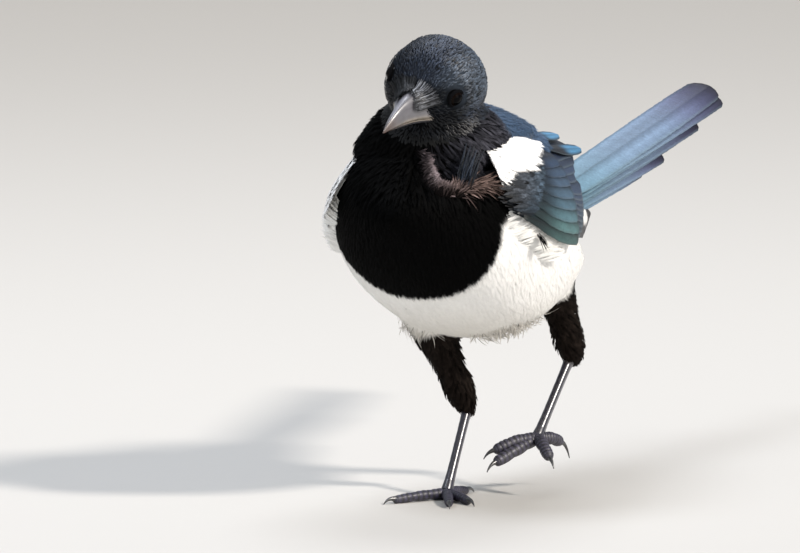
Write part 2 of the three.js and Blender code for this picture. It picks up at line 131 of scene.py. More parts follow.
def blend(stops, t):
    places = [p for p, _ in stops]
    colours = np.array([linear(code) for _, code in stops])
    return np.stack([np.interp(t, places, colours[:, k]) for k in range(3)], axis=-1)


# A colour drawn towards another by an amount of its own at each point
def tint(colour, code, amount):
    return mix(colour, linear(code), np.asarray(amount)[..., None])


# One colour for many feathers, lighter or darker on each
def tones(code, count, jitter):
    return linear(code) * rng.normal(1, jitter, (count, 1))


# Meshes

# Gives a mesh its colours, smooth shading and finish
def dress(mesh, finish, coat):
    if coat is not None:
        colours = np.ones((len(mesh.vertices), 4))
        colours[:, :3] = coat
        layer = mesh.color_attributes.new("Coat", "FLOAT_COLOR", "POINT")
        layer.data.foreach_set("color", colours.ravel())
    mesh.polygons.foreach_set("use_smooth", np.ones(len(mesh.polygons), bool))
    mesh.materials.clear()
    mesh.materials.append(finishes[finish])


# Points are in millimetres. sizes may be one number, if all faces have that many corners.
def makePiece(name, points, corners, sizes, finish, nodes=(),
              bake=None, vane=None, coat=None):
    mesh = bpy.data.meshes.new(name)
    mesh.vertices.add(len(points))
    mesh.vertices.foreach_set("co", (points * scale).ravel())
    corners = corners.ravel().astype(np.int32)
    if np.isscalar(sizes):
        sizes = np.full(len(corners) // sizes, sizes)
    mesh.loops.add(len(corners))
    mesh.loops.foreach_set("vertex_index", corners)
    mesh.polygons.add(len(sizes))
    mesh.polygons.foreach_set("loop_start", (np.cumsum(sizes) - sizes).astype(np.int32))
    mesh.update(calc_edges=True)
    mesh.validate()
    for label, uv in (("OFBake", bake), ("Vane", vane)):
        if uv is not None:
            layer = mesh.uv_layers.new(name=label)
            layer.data.foreach_set("uv", uv[corners].ravel())
    dress(mesh, finish, coat)
    piece = addObject(name, mesh)
    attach(piece, "root")
    if nodes:
        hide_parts(*nodes)
    return piece


# Quads of a grid of rows by columns, with the columns closed into a ring where round is true
def gridFaces(rows, columns, round=False):
    across = columns if round else columns - 1
    r, c = np.meshgrid(np.arange(rows - 1), np.arange(across), indexing="ij")
    n = (c + 1) % columns
    return np.stack([r * columns + c, r * columns + n, (r + 1) * columns + n, (r + 1) * columns + c],
                    axis=-1).reshape(-1, 4)


# A loft of rings as points, corners and sizes, with both ends closed
def loft(rings):
    rings = np.asarray(rings)
    rows, sides = rings.shape[:2]
    quads = gridFaces(rows, sides, round=True)
    last = (rows - 1) * sides
    corners = np.concatenate([quads.ravel(), np.arange(sides)[::-1], last + np.arange(sides)])
    sizes = np.concatenate([np.full(len(quads), 4), [sides, sides]])
    v, u = np.meshgrid(np.linspace(0, 1, rows), np.linspace(0, 1, sides), indexing="ij")
    return rings.reshape(-1, 3), corners, sizes, np.stack([u, v], axis=-1).reshape(-1, 2)


def merge(parts):
    points, corners, sizes, uvs, offset = [], [], [], [], 0
    for k, (p, c, s, uv) in enumerate(parts):
        points.append(p)
        corners.append(c + offset)
        sizes.append(s)
        uvs.append((uv + [k, 0]) / [len(parts), 1])
        offset += len(p)
    return [np.concatenate(x) for x in (points, corners, sizes, uvs)]


def oval(centre, across, upward, half, up, down=None, square=2, sides=64):
    angle = np.linspace(0, 2 * math.pi, sides, endpoint=False)
    c, s = np.cos(angle), np.sin(angle)
    c, s = [np.sign(x) * np.abs(x) ** (2 / square) for x in (c, s)]
    rise = np.where(s > 0, up, up if down is None else down) * s
    return centre + np.outer(c * half, across) + np.outer(rise, upward)


# Materials

def addNode(tree, kind, inputs, **settings):
    made = tree.nodes.new(kind)
    for name, value in settings.items():
        setattr(made, name, value)
    for name, value in inputs.items():
        socket = made.inputs[name]
        if isinstance(value, bpy.types.NodeSocket):
            tree.links.new(value, socket)
        else:
            socket.default_value = value
    return made.outputs


def newMaterial(name):
    material = bpy.data.materials.new(name)
    material.use_nodes = True
    material.node_tree.nodes.clear()
    return material, material.node_tree


# Barbs slant back from the shaft and waver with the grain. pitch is the gap in millimetres
# between the lines of a wave texture at scale 1, and depth the height of the relief.
barbSet = {"slant": 1.1, "waver": 0.5, "pitch": 0.314, "dark": 0.72, "light": 1.12, "depth": 0.2,
           "coatRoughness": 0.25}


# A finish coloured by the piece's own Coat attribute. Barbs are fine slanting lines on the
# Vane map, whose units are millimetres across and along a feather. barb is the gap between them
# and size the speckles' size, in millimetres.
def featherFinish(name, roughness, gloss=0.3, coat=0.0, barb=0.0, speckle=0.25, size=2.0, bump=0.3):
    material, tree = newMaterial(name)
    colour = addNode(tree, "ShaderNodeVertexColor", {}, layer_name="Coat")["Color"]
    place = addNode(tree, "ShaderNodeTexCoord", {})["Object"]
    grain = addNode(tree, "ShaderNodeTexNoise", {
        "Vector": place, "Scale": 1 / (size * scale), "Detail": 3.0})[0]
    shade = addNode(tree, "ShaderNodeMapRange", {
        "Value": grain, "From Min": 0.3, "From Max": 0.7, "To Min": 1 - speckle, "To Max": 1 + speckle})[0]
    height = grain
    if barb:
        uv = addNode(tree, "ShaderNodeUVMap", {}, uv_map="Vane")[0]
        split = addNode(tree, "ShaderNodeSeparateXYZ", {0: uv})
        across = addNode(tree, "ShaderNodeMath", {0: split[0]}, operation="ABSOLUTE")[0]
        along = addNode(tree, "ShaderNodeMath", {
            0: across, 1: -barbSet["slant"], 2: split[1]}, operation="MULTIPLY_ADD")[0]
        line = addNode(tree, "ShaderNodeMath", {
            0: grain, 1: barbSet["waver"], 2: along}, operation="MULTIPLY_ADD")[0]
        lines = addNode(tree, "ShaderNodeCombineXYZ", {0: line})[0]
        height = addNode(tree, "ShaderNodeTexWave", {"Vector": lines, "Scale": barbSet["pitch"] / barb})[1]
        light = addNode(tree, "ShaderNodeMapRange", {
            "Value": height, "To Min": barbSet["dark"], "To Max": barbSet["light"]})[0]
        shade = addNode(tree, "ShaderNodeMath", {0: shade, 1: light}, operation="MULTIPLY")[0]
    tinted = addNode(tree, "ShaderNodeVectorMath", {0: colour, "Scale": shade}, operation="SCALE")[0]
    relief = addNode(tree, "ShaderNodeBump", {
        "Height": height, "Strength": bump, "Distance": barbSet["depth"] * scale})[0]
    surface = addNode(tree, "ShaderNodeBsdfPrincipled", {
        "Base Color": tinted, "Roughness": roughness, "Normal": relief, "Specular IOR Level": gloss,
        "Coat Weight": coat, "Coat Roughness": barbSet["coatRoughness"]})[0]
    addNode(tree, "ShaderNodeOutputMaterial", {"Surface": surface})
    return material


finishes = {
    # deep matt black that catches a little grey light on its barbs
    "black": featherFinish("feather_black", 0.65, gloss=0.03),
    # the same black on head and back, tighter and with a bluish gloss
    "crown": featherFinish("feather_crown", 0.42, gloss=0.28, speckle=0.45, size=0.9),
    # soft chalky white that glows in the sun
    "white": featherFinish("feather_white", 0.9, gloss=0.1, speckle=0.02, bump=0.1),
    # glossy vanes whose fine barbs give silky streaks
    "vane": featherFinish("feather_vane", 0.42, gloss=0.35, barb=0.8, speckle=0.18, size=1.2, bump=0.5),
    # skin under the coat, dull, so that gaps between feathers don't shine
    "skin": featherFinish("skin_under_coat", 0.9, gloss=0.1, speckle=0.15, bump=0.1),
    # polished horn of the bill and claws
    "horn": featherFinish("horn", 0.38, gloss=1.0, coat=0.7, speckle=0.2, size=3.0, bump=0.06),
    # horny scales of the toes, softly shining on their crests
    "scute": featherFinish("toe_scutes", 0.56, gloss=0.8, coat=0.12, size=0.8, bump=0.12),
    # the smooth plates of the shank, which shine in one long streak
    "shank": featherFinish("shank_scutes", 0.32, gloss=1.0, coat=0.7, speckle=0.2, size=0.8, bump=0.08),
    # the wet eye, with one small sharp highlight
    "eye": featherFinish("eye", 0.12, gloss=0.05, speckle=0.1, size=0.5, bump=0.0),
    # bare rim of the lids, dull and dark round the shine of the eye
    "lid": featherFinish("lid", 0.8, gloss=0.05, speckle=0.2, size=0.5),
}
print("materials made")


# Trunk, neck, head and thighs as forms, drawn in by the depth of the coat

trunk = {
    "midline": 8, "front": -86, "rear": 88, "rows": 70, "frontRound": 0.3, "rearRound": 0.12,
    "widest": 0.46, "square": 2.15,
    "back": through([(-86, 158), (-64, 172), (-38, 180), (-10, 184), (20, 177), (50, 159), (72, 145),
                     (88, 136)]),
    "belly": through([(-86, 120), (-64, 100), (-38, 87), (-10, 75), (20, 73), (50, 84), (72, 104),
                      (88, 117)]),
    "flank": through([(-86, 30), (-64, 41), (-38, 48), (-10, 50), (20, 49.5), (50, 42), (72, 28), (88, 17)]),
}


def trunkForm(depth):
    rings = []
    for k in range(trunk["rows"] + 1):
        t = (1 - math.cos(math.pi * mix(0.03, 0.97, k / trunk["rows"]))) / 2
        y = mix(trunk["front"], trunk["rear"], t)
        front, rear = min(1, t / trunk["frontRound"]), min(1, (1 - t) / trunk["rearRound"])
        round = math.sqrt((1 - (1 - front) ** 2) * (1 - (1 - rear) ** 2))
        low, high, half = [trunk[key](y) for key in ("belly", "back", "flank")]
        widest = mix(low, high, trunk["widest"])
        half, up, down = [max(r * round - depth, 0.5) for r in (half, high - widest, widest - low)]
        rings.append(oval(vec(trunk["midline"], y, widest), vec(-1, 0, 0), vec(0, 0, 1), half, up, down,
                          square=trunk["square"], sides=96))
    return loft(rings)


head = {"at": vec(13.5, -52, 193), "yaw": -9, "pitch": -20, "roll": 19, "back": 26, "face": 19,
        "rows": 40, "backRound": 0.35, "square": 2.1}
headForward = turned(turned((0, -1, 0), (1, 0, 0), -head["pitch"]), (0, 0, 1), head["yaw"])
headLeft = turned((1, 0, 0), (0, 0, 1), head["yaw"])
headLeft = turned(unit(headLeft - headForward * headLeft.dot(headForward)), headForward, -head["roll"])
headAxes = np.array([headLeft, headForward, np.cross(headForward, headLeft)])
headHalf = through([(-26, 15), (-18, 20.5), (-6, 22.5), (6, 21.5), (14, 16), (19, 8.5)])
headUp = through([(-26, 14), (-18, 19.6), (-6, 21.2), (6, 20.2), (14, 14.5), (19, 7.4)])
headDown = through([(-26, 14), (-18, 19.5), (-6, 21), (6, 18.5), (14, 14), (19, 9)])


# A point given to the bird's left, forward and up from the middle of its head
def onHead(x, y, z):
    return head["at"] + np.stack(np.broadcast_arrays(x, y, z), axis=-1) @ headAxes


def inHead(points):
    return (points - head["at"]) @ headAxes.T


def headForm(depth):
    rings = []
    for k in range(head["rows"] + 1):
        t = 1 - math.cos((math.pi / 2) * mix(0.05, 1, k / head["rows"]))
        y = mix(-head["back"], head["face"], t)
        round = math.sqrt(1 - (1 - min(1, t / head["backRound"])) ** 2)
        half, up, down = [max(f(y) * round - depth, 0.4) for f in (headHalf, headUp, headDown)]
        rings.append(oval(onHead(0, y, 0), -headAxes[0], headAxes[2], half, up, down, square=head["square"]))
    return loft(rings)


# middle of each ring of the neck, its lean in degrees, half its width and half its height
neck = [((8, -26, 150), 0, 42, 34), ((8, -38, 166), 24, 38, 31), ((10, -45, 178), 24, 28, 26),
        ((12.5, -48, 188), 20, 20, 20), ((14, -50, 196), 14, 14, 14)]


def neckForm(depth):
    rings = []
    for at, lean, half, up in neck:
        tilt = math.radians(lean)
        upward = vec(0, math.cos(tilt), math.sin(tilt))
        rings.append(oval(vec(*at), vec(-1, 0, 0), upward, half - depth, up - depth))
    return loft(rings)


eye = {"radius": 4.7, "at": vec(14.2, 8.5, 5.5)}  # the left one, on the head
eyeAt = {side: onHead(*(eye["at"] * [side, 1, 1])) for side in (1, -1)}


# How far along a line of points each of them lies, 0 to 1
def placesAlong(points):
    gaps = lengths(np.diff(points, axis=0))
    return np.concatenate([[0], np.cumsum(gaps)]) / gaps.sum()


# A rounded limb along a list of (x, y, z, thickness) stops
def limbRings(stops, rows, sides, shape=None, top=vec(0, 0, 1)):
    stops = np.array(stops, float)
    places = placesAlong(stops[:, :3])
    lines = [through(list(zip(places, stops[:, k]))) for k in range(4)]
    t = np.linspace(0, 1, rows)
    centre = np.stack([lines[k](t) for k in range(3)], axis=-1)
    along = unit(np.gradient(centre, axis=0))
    across = unit(np.cross(along, top))
    upward = np.cross(across, along)
    angle = np.linspace(0, 2 * math.pi, sides, endpoint=False)
    radius = np.repeat(lines[3](t)[:, None] / 2, sides, axis=1)
    if shape:
        radius = radius * shape(t[:, None], angle[None, :])
    return (centre[:, None] + (radius * np.cos(angle))[..., None] * across[:, None]
            + (radius * np.sin(angle))[..., None] * upward[:, None])


legs = {
    "right": {"ankle": (1, 25, 42), "ball": (0, 0, 3.6), "thigh": (-8, 3, 78), "rear": (1.5, 25, 36),
              "wide": 23, "black": -0.02},
    "left": {"ankle": (35, 66, 60), "ball": (29.5, 37, 25), "thigh": (34, 48, 92), "rear": (36, 68, 56),
             "wide": 20, "black": 0.02},
}


def thighForm(leg, depth):
    a, b = vec(*leg["thigh"]), vec(*leg["rear"])
    stops = [(*mix(a, b, t), r - 2 * depth) for t, r in
             ((-0.35, 30), (0, leg["wide"]), (0.4, 15.5), (0.8, 14), (0.95, 9), (1.0, 6.5))]
    return loft(limbRings(stops, 24, 40, top=vec(0, 1, 0.1)))


# Whether points lie about a thigh, on its black part
def onThigh(leg, points, low, reach):
    a, b = vec(*leg["thigh"]), vec(*leg["rear"])
    t = np.clip((points - a) @ (b - a) / ((b - a) @ (b - a)), low, 1)
    return (lengths(points - (a + t[:, None] * (b - a))) < reach) & (t > leg["black"])


# Folded wing. A point lies along it from the bend, over it, and out from the trunk.
wing = {
    "middle": 148, "rightDrop": 6, "round": 48,
    "plan": through([(-64, 20), (-58, 25), (-45, 31.5), (-20, 36.5), (10, 36), (40, 31), (75, 22.5),
                     (110, 14.5), (140, 9)]),
    "tilt": through([(-60, 30), (0, 27), (60, 18), (140, 6)]),
    "drop": through([(-60, 0), (-20, -5), (10, -10), (40, -15), (75, -19), (110, -22), (140, -24)]),
    "top": through([(4, 8), (30, 18), (60, 21), (95, 32), (132, 32), (200, 8)]),
    "low": through([(4, -1), (10, -3), (21, -12), (32, -18), (42, -21), (60, -20), (75, -18), (95, -22),
                    (132, -21), (200, -15)]),
}


# Height of the wing's middle line over the floor
def wingMiddle(side, y):
    return wing["middle"] - (0 if side > 0 else wing["rightDrop"]) + wing["drop"](y)


def wingLay(side):
    bend = wing["round"]

    def lay(s, h, n):
        s, h, n = np.broadcast_arrays(np.asarray(s, float), h, n)
        y = s - 60
        slope = (wing["plan"](y + 1) - wing["plan"](y - 1)) / 2
        outward = unit(np.stack([np.full(y.shape, side), -slope, np.zeros(y.shape)], axis=-1))
        lean = np.radians(wing["tilt"](y))
        turn = lean + h / bend
        out = (bend + n) * np.cos(turn) - bend * np.cos(lean)
        up = (bend + n) * np.sin(turn) - bend * np.sin(lean)
        base = np.stack([trunk["midline"] + side * wing["plan"](y), y, wingMiddle(side, y) + up], axis=-1)
        return base + outward * out[..., None]

    return lay


# Where points lie on a wing: along, over and out, nearly
def inWing(points, side):
    y = points[:, 1]
    lean = np.radians(wing["tilt"](y))
    x = side * (points[:, 0] - trunk["midline"]) - wing["plan"](y) + wing["round"] * np.cos(lean)
    z = points[:, 2] - wingMiddle(side, y) + wing["round"] * np.sin(lean)
    return y + 60, (np.arctan2(z, x) - lean) * wing["round"], np.hypot(x, z) - wing["round"]


# How far inside a wing's outline points are, 0 to 1
def underWing(points, side):
    margin = 3
    s, h, n = inWing(points, side)
    over = step(wing["low"](s) - margin * 0.3, wing["low"](s) + margin, h)
    under = 1 - step(wing["top"](s) - margin, wing["top"](s) + margin * 0.3, h)
    return over * under * step(4, 9, s) * (n > -25)


# The skin: one smooth surface over all the flesh
skinSet = {"voxel": 1.2, "trunk": 2.0, "neck": 2.4, "head": 1.2, "thigh": 1.8, "smooth": 12, "shade": 0.8}


def buildSkin():
    forms = [trunkForm(skinSet["trunk"]), neckForm(skinSet["neck"]), headForm(skinSet["head"])]
    forms += [thighForm(leg, skinSet["thigh"]) for leg in legs.values()]
    points, corners, sizes, _ = merge(forms)
    rough = makePiece("skin_rough", points, corners, sizes, "skin")
    remesh = rough.modifiers.new("remesh", "REMESH")
    remesh.mode = "VOXEL"
    remesh.voxel_size = skinSet["voxel"] * scale
    soften = rough.modifiers.new("smooth", "SMOOTH")
    soften.factor = 0.5
    soften.iterations = skinSet["smooth"]
    ready = rough.evaluated_get(bpy.context.evaluated_depsgraph_get())
    mesh = bpy.data.meshes.new_from_object(ready)
    bpy.data.objects.remove(rough, do_unlink=True)
    points = np.empty(len(mesh.vertices) * 3)
    mesh.vertices.foreach_get("co", points)
    points = points.reshape(-1, 3) / scale
    # under the wings the skin is pressed in, so that it stays below their feathers
    for side in (1, -1):
        _, _, out = inWing(points, side)
        press = underWing(points, side) * np.maximum(out + 0.5, 0)
        inward = vec(trunk["midline"], 0, 130) - points
        inward[:, 1] = 0
        points = points + unit(inward) * press[:, None]
    # a hollow under the chin, above the ruff of the breast
    hollow = lengths((points - throat["at"]) / throat["size"])
    points = points + throat["way"] * (throat["depth"] * np.exp(-hollow ** 2))[:, None]
    mesh.vertices.foreach_set("co", (points * scale).ravel())
    mesh.update()
    piece = addObject("skin", mesh)
    unwrap(piece)
    dress(mesh, "skin", markingsAndPaintedLight(points)[0] * skinSet["shade"])
    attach(piece, "root")
    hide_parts("torso", "neck", "head", "thigh_left", "thigh_right")
    return piece, points


def unwrap(piece):
    piece.data.uv_layers.new(name="OFBake")
    bpy.ops.object.select_all(action="DESELECT")
    piece.select_set(True)
    bpy.context.view_layer.objects.active = piece
    bpy.ops.object.mode_set(mode="EDIT")
    bpy.ops.mesh.select_all(action="SELECT")
    bpy.ops.uv.smart_project(angle_limit=math.radians(66), island_margin=0.004)
    bpy.ops.object.mode_set(mode="OBJECT")


# the hollow under the chin, pressed in along way, and the ruff that frames it
throat = {"at": vec(26, -69, 157), "size": vec(11, 12, 8), "depth": 8.0, "way": vec(-0.2, 0.85, 0.3)}
ruff = {
    # its rim, from the bird's right round below the throat to its left
    "rim": np.array([(13.4, -67.5, 165), (16.4, -69, 158.5), (20.6, -73.5, 152.4), (25.9, -73.6, 149),
                     (31.2, -71.1, 147.2), (37.5, -62.8, 151.6), (44.4, -56.1, 149.9)]),
    "hollow": vec(30, -62, 160), "count": 1700,
}
strands = {"from": vec(36.5, -58.5, 166), "to": vec(35, -66, 153.5), "spread": [3.4, 0.8, 2.5],
           "count": 44}


# Markings, with painted sheen and shade on the head and throat

# where the white begins and ends along the bird, by height, and how high it reaches, by place along
marks = {
    "bibLeft": through([(92, -53), (107, -53.6), (126, -53.6), (134, -53), (142, -52.5), (155, -49)]),
    "bibRight": through([(92, -52), (100, -53), (105, -54), (110, -54), (115, -51), (123, -46), (134, -40),
                         (155, -33)]),
    "rear": through([(60, 34), (85, 44), (105, 46), (125, 40)]),
    "whiteTop": through([(-60, 128), (-40, 140), (0, 140), (40, 132)]),
}


# Colour of the coat at points, with painted sheen and shade on the head and throat, and how white it is there
def markingsAndPaintedLight(points):
    x, y, z = points.T
    ragged = 0.2 * np.sin(0.9 * x + 0.4 * z) + 0.2 * np.sin(2.1 * x - 1.3 * y)
    bib = mix(marks["bibRight"](z), marks["bibLeft"](z), step(-8, 6, x))
    behind = step(-0.7, 0.7, y + ragged - bib)
    before = 1 - step(-2, 2, y + ragged - marks["rear"](z))
    below = 1 - step(-2, 2, z + ragged - marks["whiteTop"](y))
    thighs = np.any([onThigh(leg, points, -0.4, 13) for leg in legs.values()], axis=0)
    white = behind * before * below * ~thighs
    local = inHead(points)
    left, forward, up = local.T
    near = lengths(local) < 32
    fromEye = np.abs(local * [1, 0, 0]) + local * [0, 1, 1] - eye["at"]
    # the face stays dark, with paler lit barbs behind and under each eye
    lit = np.exp(-((lengths(fromEye) - 8.5) / 1.6) ** 2) * step(2, -4, fromEye[:, 1] + fromEye[:, 2])
    colour = np.tile(linear("040404"), (len(points), 1))
    for code, amount in (
            # the top of the head is painted a paler bluish grey, a painted sheen on its black
            ("252b36", step(-16, 2, up) * near),
            ("34465c", step(150, 168, z) * step(-40, -20, y)),
            # a painted sheen on the crown over the bird's left, the lit side
            ("3d454f", 0.75 * step(3, 14, left) * near * step(-4, 5, up)),
            ("2e3136", 0.7 * lit)):
        colour = tint(colour, code, amount)
    # painted shade makes the forehead, the lores and the bird's right cheek darker than the crown
    headShade = step(0, 12, forward) * near * (1 - step(9, 13, np.abs(up)))
    headShade = np.maximum(headShade, 0.7 * step(-2, -12, left) * near)
    # the hollow of the throat lies in shade
    deep = np.exp(-(lengths(points - ruff["hollow"]) / 11) ** 4)
    colour = colour * ((1 - 0.8 * headShade) * (1 - 0.8 * deep))[:, None]
    colour = tint(colour, "1b1613", step(92, 84, z))
    # the white is darker towards the bottom of the belly
    pale = blend([(66, "c9c2b6"), (76, "e9e6df"), (95, "f8f7f4"), (150, "fbfaf8")], z)
    return mix(colour, pale, white[:, None]), white


skin, skinPoints = buildSkin()
print("skin built", len(skinPoints))


# Small feathers. A plume is a rounded leaf with loose barbs round its outer part, given
# across (-1 to 1) and along (0 to 1), with a lift of its own.

def plume(barbs, jitter, blunt):
    points, faces = [], []
    rows = [(0.0, 0.25), (0.3, 0.72), (0.6, mix(0.75, 0.95, blunt)), (0.85, mix(0.35, 0.8, blunt))]
    for v, half in rows:
        points += [(-half, v, -0.12 * half), (0, v, 0), (half, v, -0.12 * half)]
    for r in range(len(rows) - 1):
        for c in (0, 1):
            k = 3 * r + c
            faces.append((k, k + 1, k + 4, k + 3))
    for i in range(barbs):
        a = mix(-1, 1, (i + 0.5) / barbs) + rng.normal(0, jitter / barbs)
        thick = 0.7 / barbs
        start, end = 0.3 + 0.2 * (1 - abs(a)), 1.04 - mix(0.26, 0.14, blunt) * a * a + rng.normal(0, 0.05)
        lift = rng.normal(0, 0.06)
        base = len(points)
        for v, u, w in ((start, 0.6 * a, thick), (mix(start, end, 0.55), 0.95 * a, thick * 0.9)):
            points += [(u - w, v, lift * v), (u + w, v, lift * v)]
        points.append((1.02 * a + rng.normal(0, jitter / barbs), end, lift * 1.6))
        faces += [(base, base + 1, base + 3, base + 2), (base + 2, base + 3, base + 4)]
    corners = np.array([k for face in faces for k in face])
    sizes = np.array([len(face) for face in faces])
    return np.array(points), corners, sizes


# how many forms are shared out, how far in millimetres they clear the skin, and half the size of
# each one's patch on the unwrap
plumeSet = {"kinds": 5, "clear": 0.25, "patch": 0.0015}


# Sets plumes along midlines. spine, side and out are arrays of feather by stop by 3.
# bakeAt places each one's patch on the unwrap, and paint tints points by their place.
def setPlumes(name, spine, side, out, width, lift, colours, bakeAt, finish, nodes, slot="black_plumage",
              barbs=9, jitter=0.6, cup=0.2, tipShade=1.0, baseShade=0.85, blunt=0.3, paint=None):
    kinds = [plume(barbs, jitter, blunt) for _ in range(plumeSet["kinds"])]
    stops = spine.shape[1] - 1
    made, offset = [], 0
    for k, (form, corners, sizes) in enumerate(kinds):
        chosen = np.arange(k, len(spine), len(kinds))
        if not len(chosen):
            continue
        u, v, w = form.T
        low = np.minimum((np.clip(v, 0, 1) * stops).astype(int), stops - 1)
        part = (np.clip(v, 0, 1.1) * stops - low)[:, None]
        middle, across, above = [mix(x[chosen][:, low], x[chosen][:, low + 1], part)
                                 for x in (spine, side, out)]
        half = (width[chosen] / 2)[:, None]
        rise = plumeSet["clear"] + lift[chosen][:, None] * (1.45 * v - 0.5 * v * v) + half * (w - cup * u * u)
        points = (middle + across * (half * u)[..., None] + above * rise[..., None]).reshape(-1, 3)
        # each feather is painted darker at its root by baseShade, painted shade under the feathers over it,
        # and paler at its tip by tipShade, a painted highlight
        tone = (colours[chosen][:, None] * mix(baseShade, tipShade, v)[:, None]).reshape(-1, 3)
        if paint:
            tone = tone * paint(points)
        bases = offset + len(form) * np.arange(len(chosen))[:, None]
        patch = np.stack([u, v - 0.5], axis=-1) * plumeSet["patch"]
        made.append((points, (corners + bases).ravel(), np.tile(sizes, len(chosen)),
                     (bakeAt[chosen][:, None] + patch).reshape(-1, 2), np.clip(tone, 0, 1)))
        offset += len(points)
    points, corners, sizes, bake, coat = [np.concatenate(x) for x in zip(*made)]
    makePiece(name, points, corners, sizes, finish, nodes, bake=bake, coat=coat)


def read(items, key, kind, width):
    values = np.empty(len(items) * width, kind)
    items.foreach_get(key, values)
    return values.reshape(-1, width)


class Surface:
    def __init__(self, mesh, points):
        mesh.calc_loop_triangles()
        self.points = points
        self.triangles = read(mesh.loop_triangles, "vertices", np.int32, 3)
        self.uv = read(mesh.uv_layers["OFBake"].data, "uv", float, 2)[
            read(mesh.loop_triangles, "loops", np.int32, 3)]
        self.normals = read(mesh.vertices, "normal", float, 3)
        self.tree = BVHTree.FromPolygons(points.tolist(), self.triangles.tolist())

    # Random points, their normals and their places on the unwrap
    def sample(self, count):
        a, b, c = [self.points[self.triangles[:, k]] for k in range(3)]
        area = lengths(np.cross(b - a, c - a))
        pick = rng.choice(len(area), count, p=area / area.sum())
        r = rng.random((count, 2))
        r = np.where(r.sum(axis=1, keepdims=True) > 1, 1 - r, r)
        weight = np.c_[1 - r.sum(axis=1), r]
        corner = self.triangles[pick]
        points, normals, uv = [np.einsum("ij,ijk->ik", weight, values) for values in
                               (self.points[corner], self.normals[corner], self.uv[pick])]
        return points, unit(normals), uv

    def nearest(self, points):
        found = [self.tree.find_nearest(p) for p in points]
        normals = self.normals[self.triangles[[face for _, _, face, _ in found]]].mean(axis=1)
        return np.array([place for place, _, _, _ in found]), unit(normals)

    # Places on the unwrap of the points of the surface that are nearest
    def unwrapped(self, points):
        return np.array([self.uv[self.tree.find_nearest(p)[2]].mean(axis=0) for p in points])


# Which points are kept, so that all are at least spacing apart
def thin(points, spacing):
    grid, kept = {}, []
    near = list(itertools.product((-1, 0, 1), repeat=3))
    cells = np.floor(points / spacing).astype(int).tolist()
    for n, (p, (a, b, c)) in enumerate(zip(points.tolist(), cells)):
        others = (q for i, j, k in near for q in grid.get((a + i, b + j, c + k), ()))
        if all(math.dist(p, q) >= spacing for q in others):
            grid.setdefault((a, b, c), []).append(p)
            kept.append(n)
    return np.array(kept)


surface = Surface(skin.data, skinPoints)
billRoot = onHead(0, head["face"] - 2, 0)


# The lie of the coat: away from the bill over the whole bird, wavering a little
def lieAt(points, normals):
    away = points - billRoot
    waver = np.sin(points[:, [1, 2, 0]] * [0.21, 0.17, 0.19])
    away = away + 0.036 * waver * lengths(away)[:, None]
    return unit(away - normals * np.sum(away * normals, axis=1)[:, None])


# Each feather follows the lie over the skin, and has five stops
places = np.linspace(0, 1, 5)


def atStops(values):
    return np.repeat(values[:, None], len(places), axis=1)


def sideOf(spine, out):
    return unit(np.cross(np.gradient(spine, axis=1), out))


def grow(points, normals, length, sway):
    made = []
    turn = rng.normal(0, sway, len(points))[:, None]
    for k in range(len(places)):
        if k:
            points, normals = surface.nearest(points + lie * (length * places[1])[:, None])
        lie = lieAt(points, normals)
        lie = unit(lie + np.cross(normals, lie) * turn)
        made.append((points, np.cross(lie, normals), normals))
    return [np.stack(x, axis=1) for x in zip(*made)]


coats = {
    # spacing, length, width and lift of the tips in millimetres; sway, jitter and tip are how much
    # the feathers stray, vary in tone and pale towards their tips, the last a painted highlight
    "head": {"spacing": 0.72, "length": 2.4, "width": 0.95, "lift": 0.6, "sway": 0.28, "barbs": 4,
             "finish": "crown", "jitter": 0.45, "blunt": 0.3, "tip": 1.6},
    "neck": {"spacing": 1.2, "length": 8.5, "width": 1.5, "lift": 1.7, "sway": 0.26, "barbs": 6,
             "finish": "black", "jitter": 0.4, "blunt": 0.0, "tip": 1.5},
    "breast": {"spacing": 1.25, "length": 8.5, "width": 2.1, "lift": 0.9, "sway": 0.08, "barbs": 9,
               "finish": "black", "jitter": 0.1, "blunt": 0.4, "tip": 1.0},
    "mantle": {"spacing": 2.1, "length": 11.0, "width": 5.0, "lift": 1.3, "sway": 0.1, "barbs": 11,
               "finish": "crown", "jitter": 0.12, "blunt": 1.0, "tip": 1.25},
    "belly": {"spacing": 1.4, "length": 10.0, "width": 2.5, "lift": 0.5, "sway": 0.1, "barbs": 9,
              "finish": "white", "jitter": 0.015, "blunt": 0.3, "tip": 1.0},
    "thigh": {"spacing": 1.3, "length": 7.5, "width": 1.9, "lift": 1.7, "sway": 0.24, "barbs": 6,
              "finish": "black", "jitter": 0.25, "blunt": 0.0, "tip": 1.2},
}
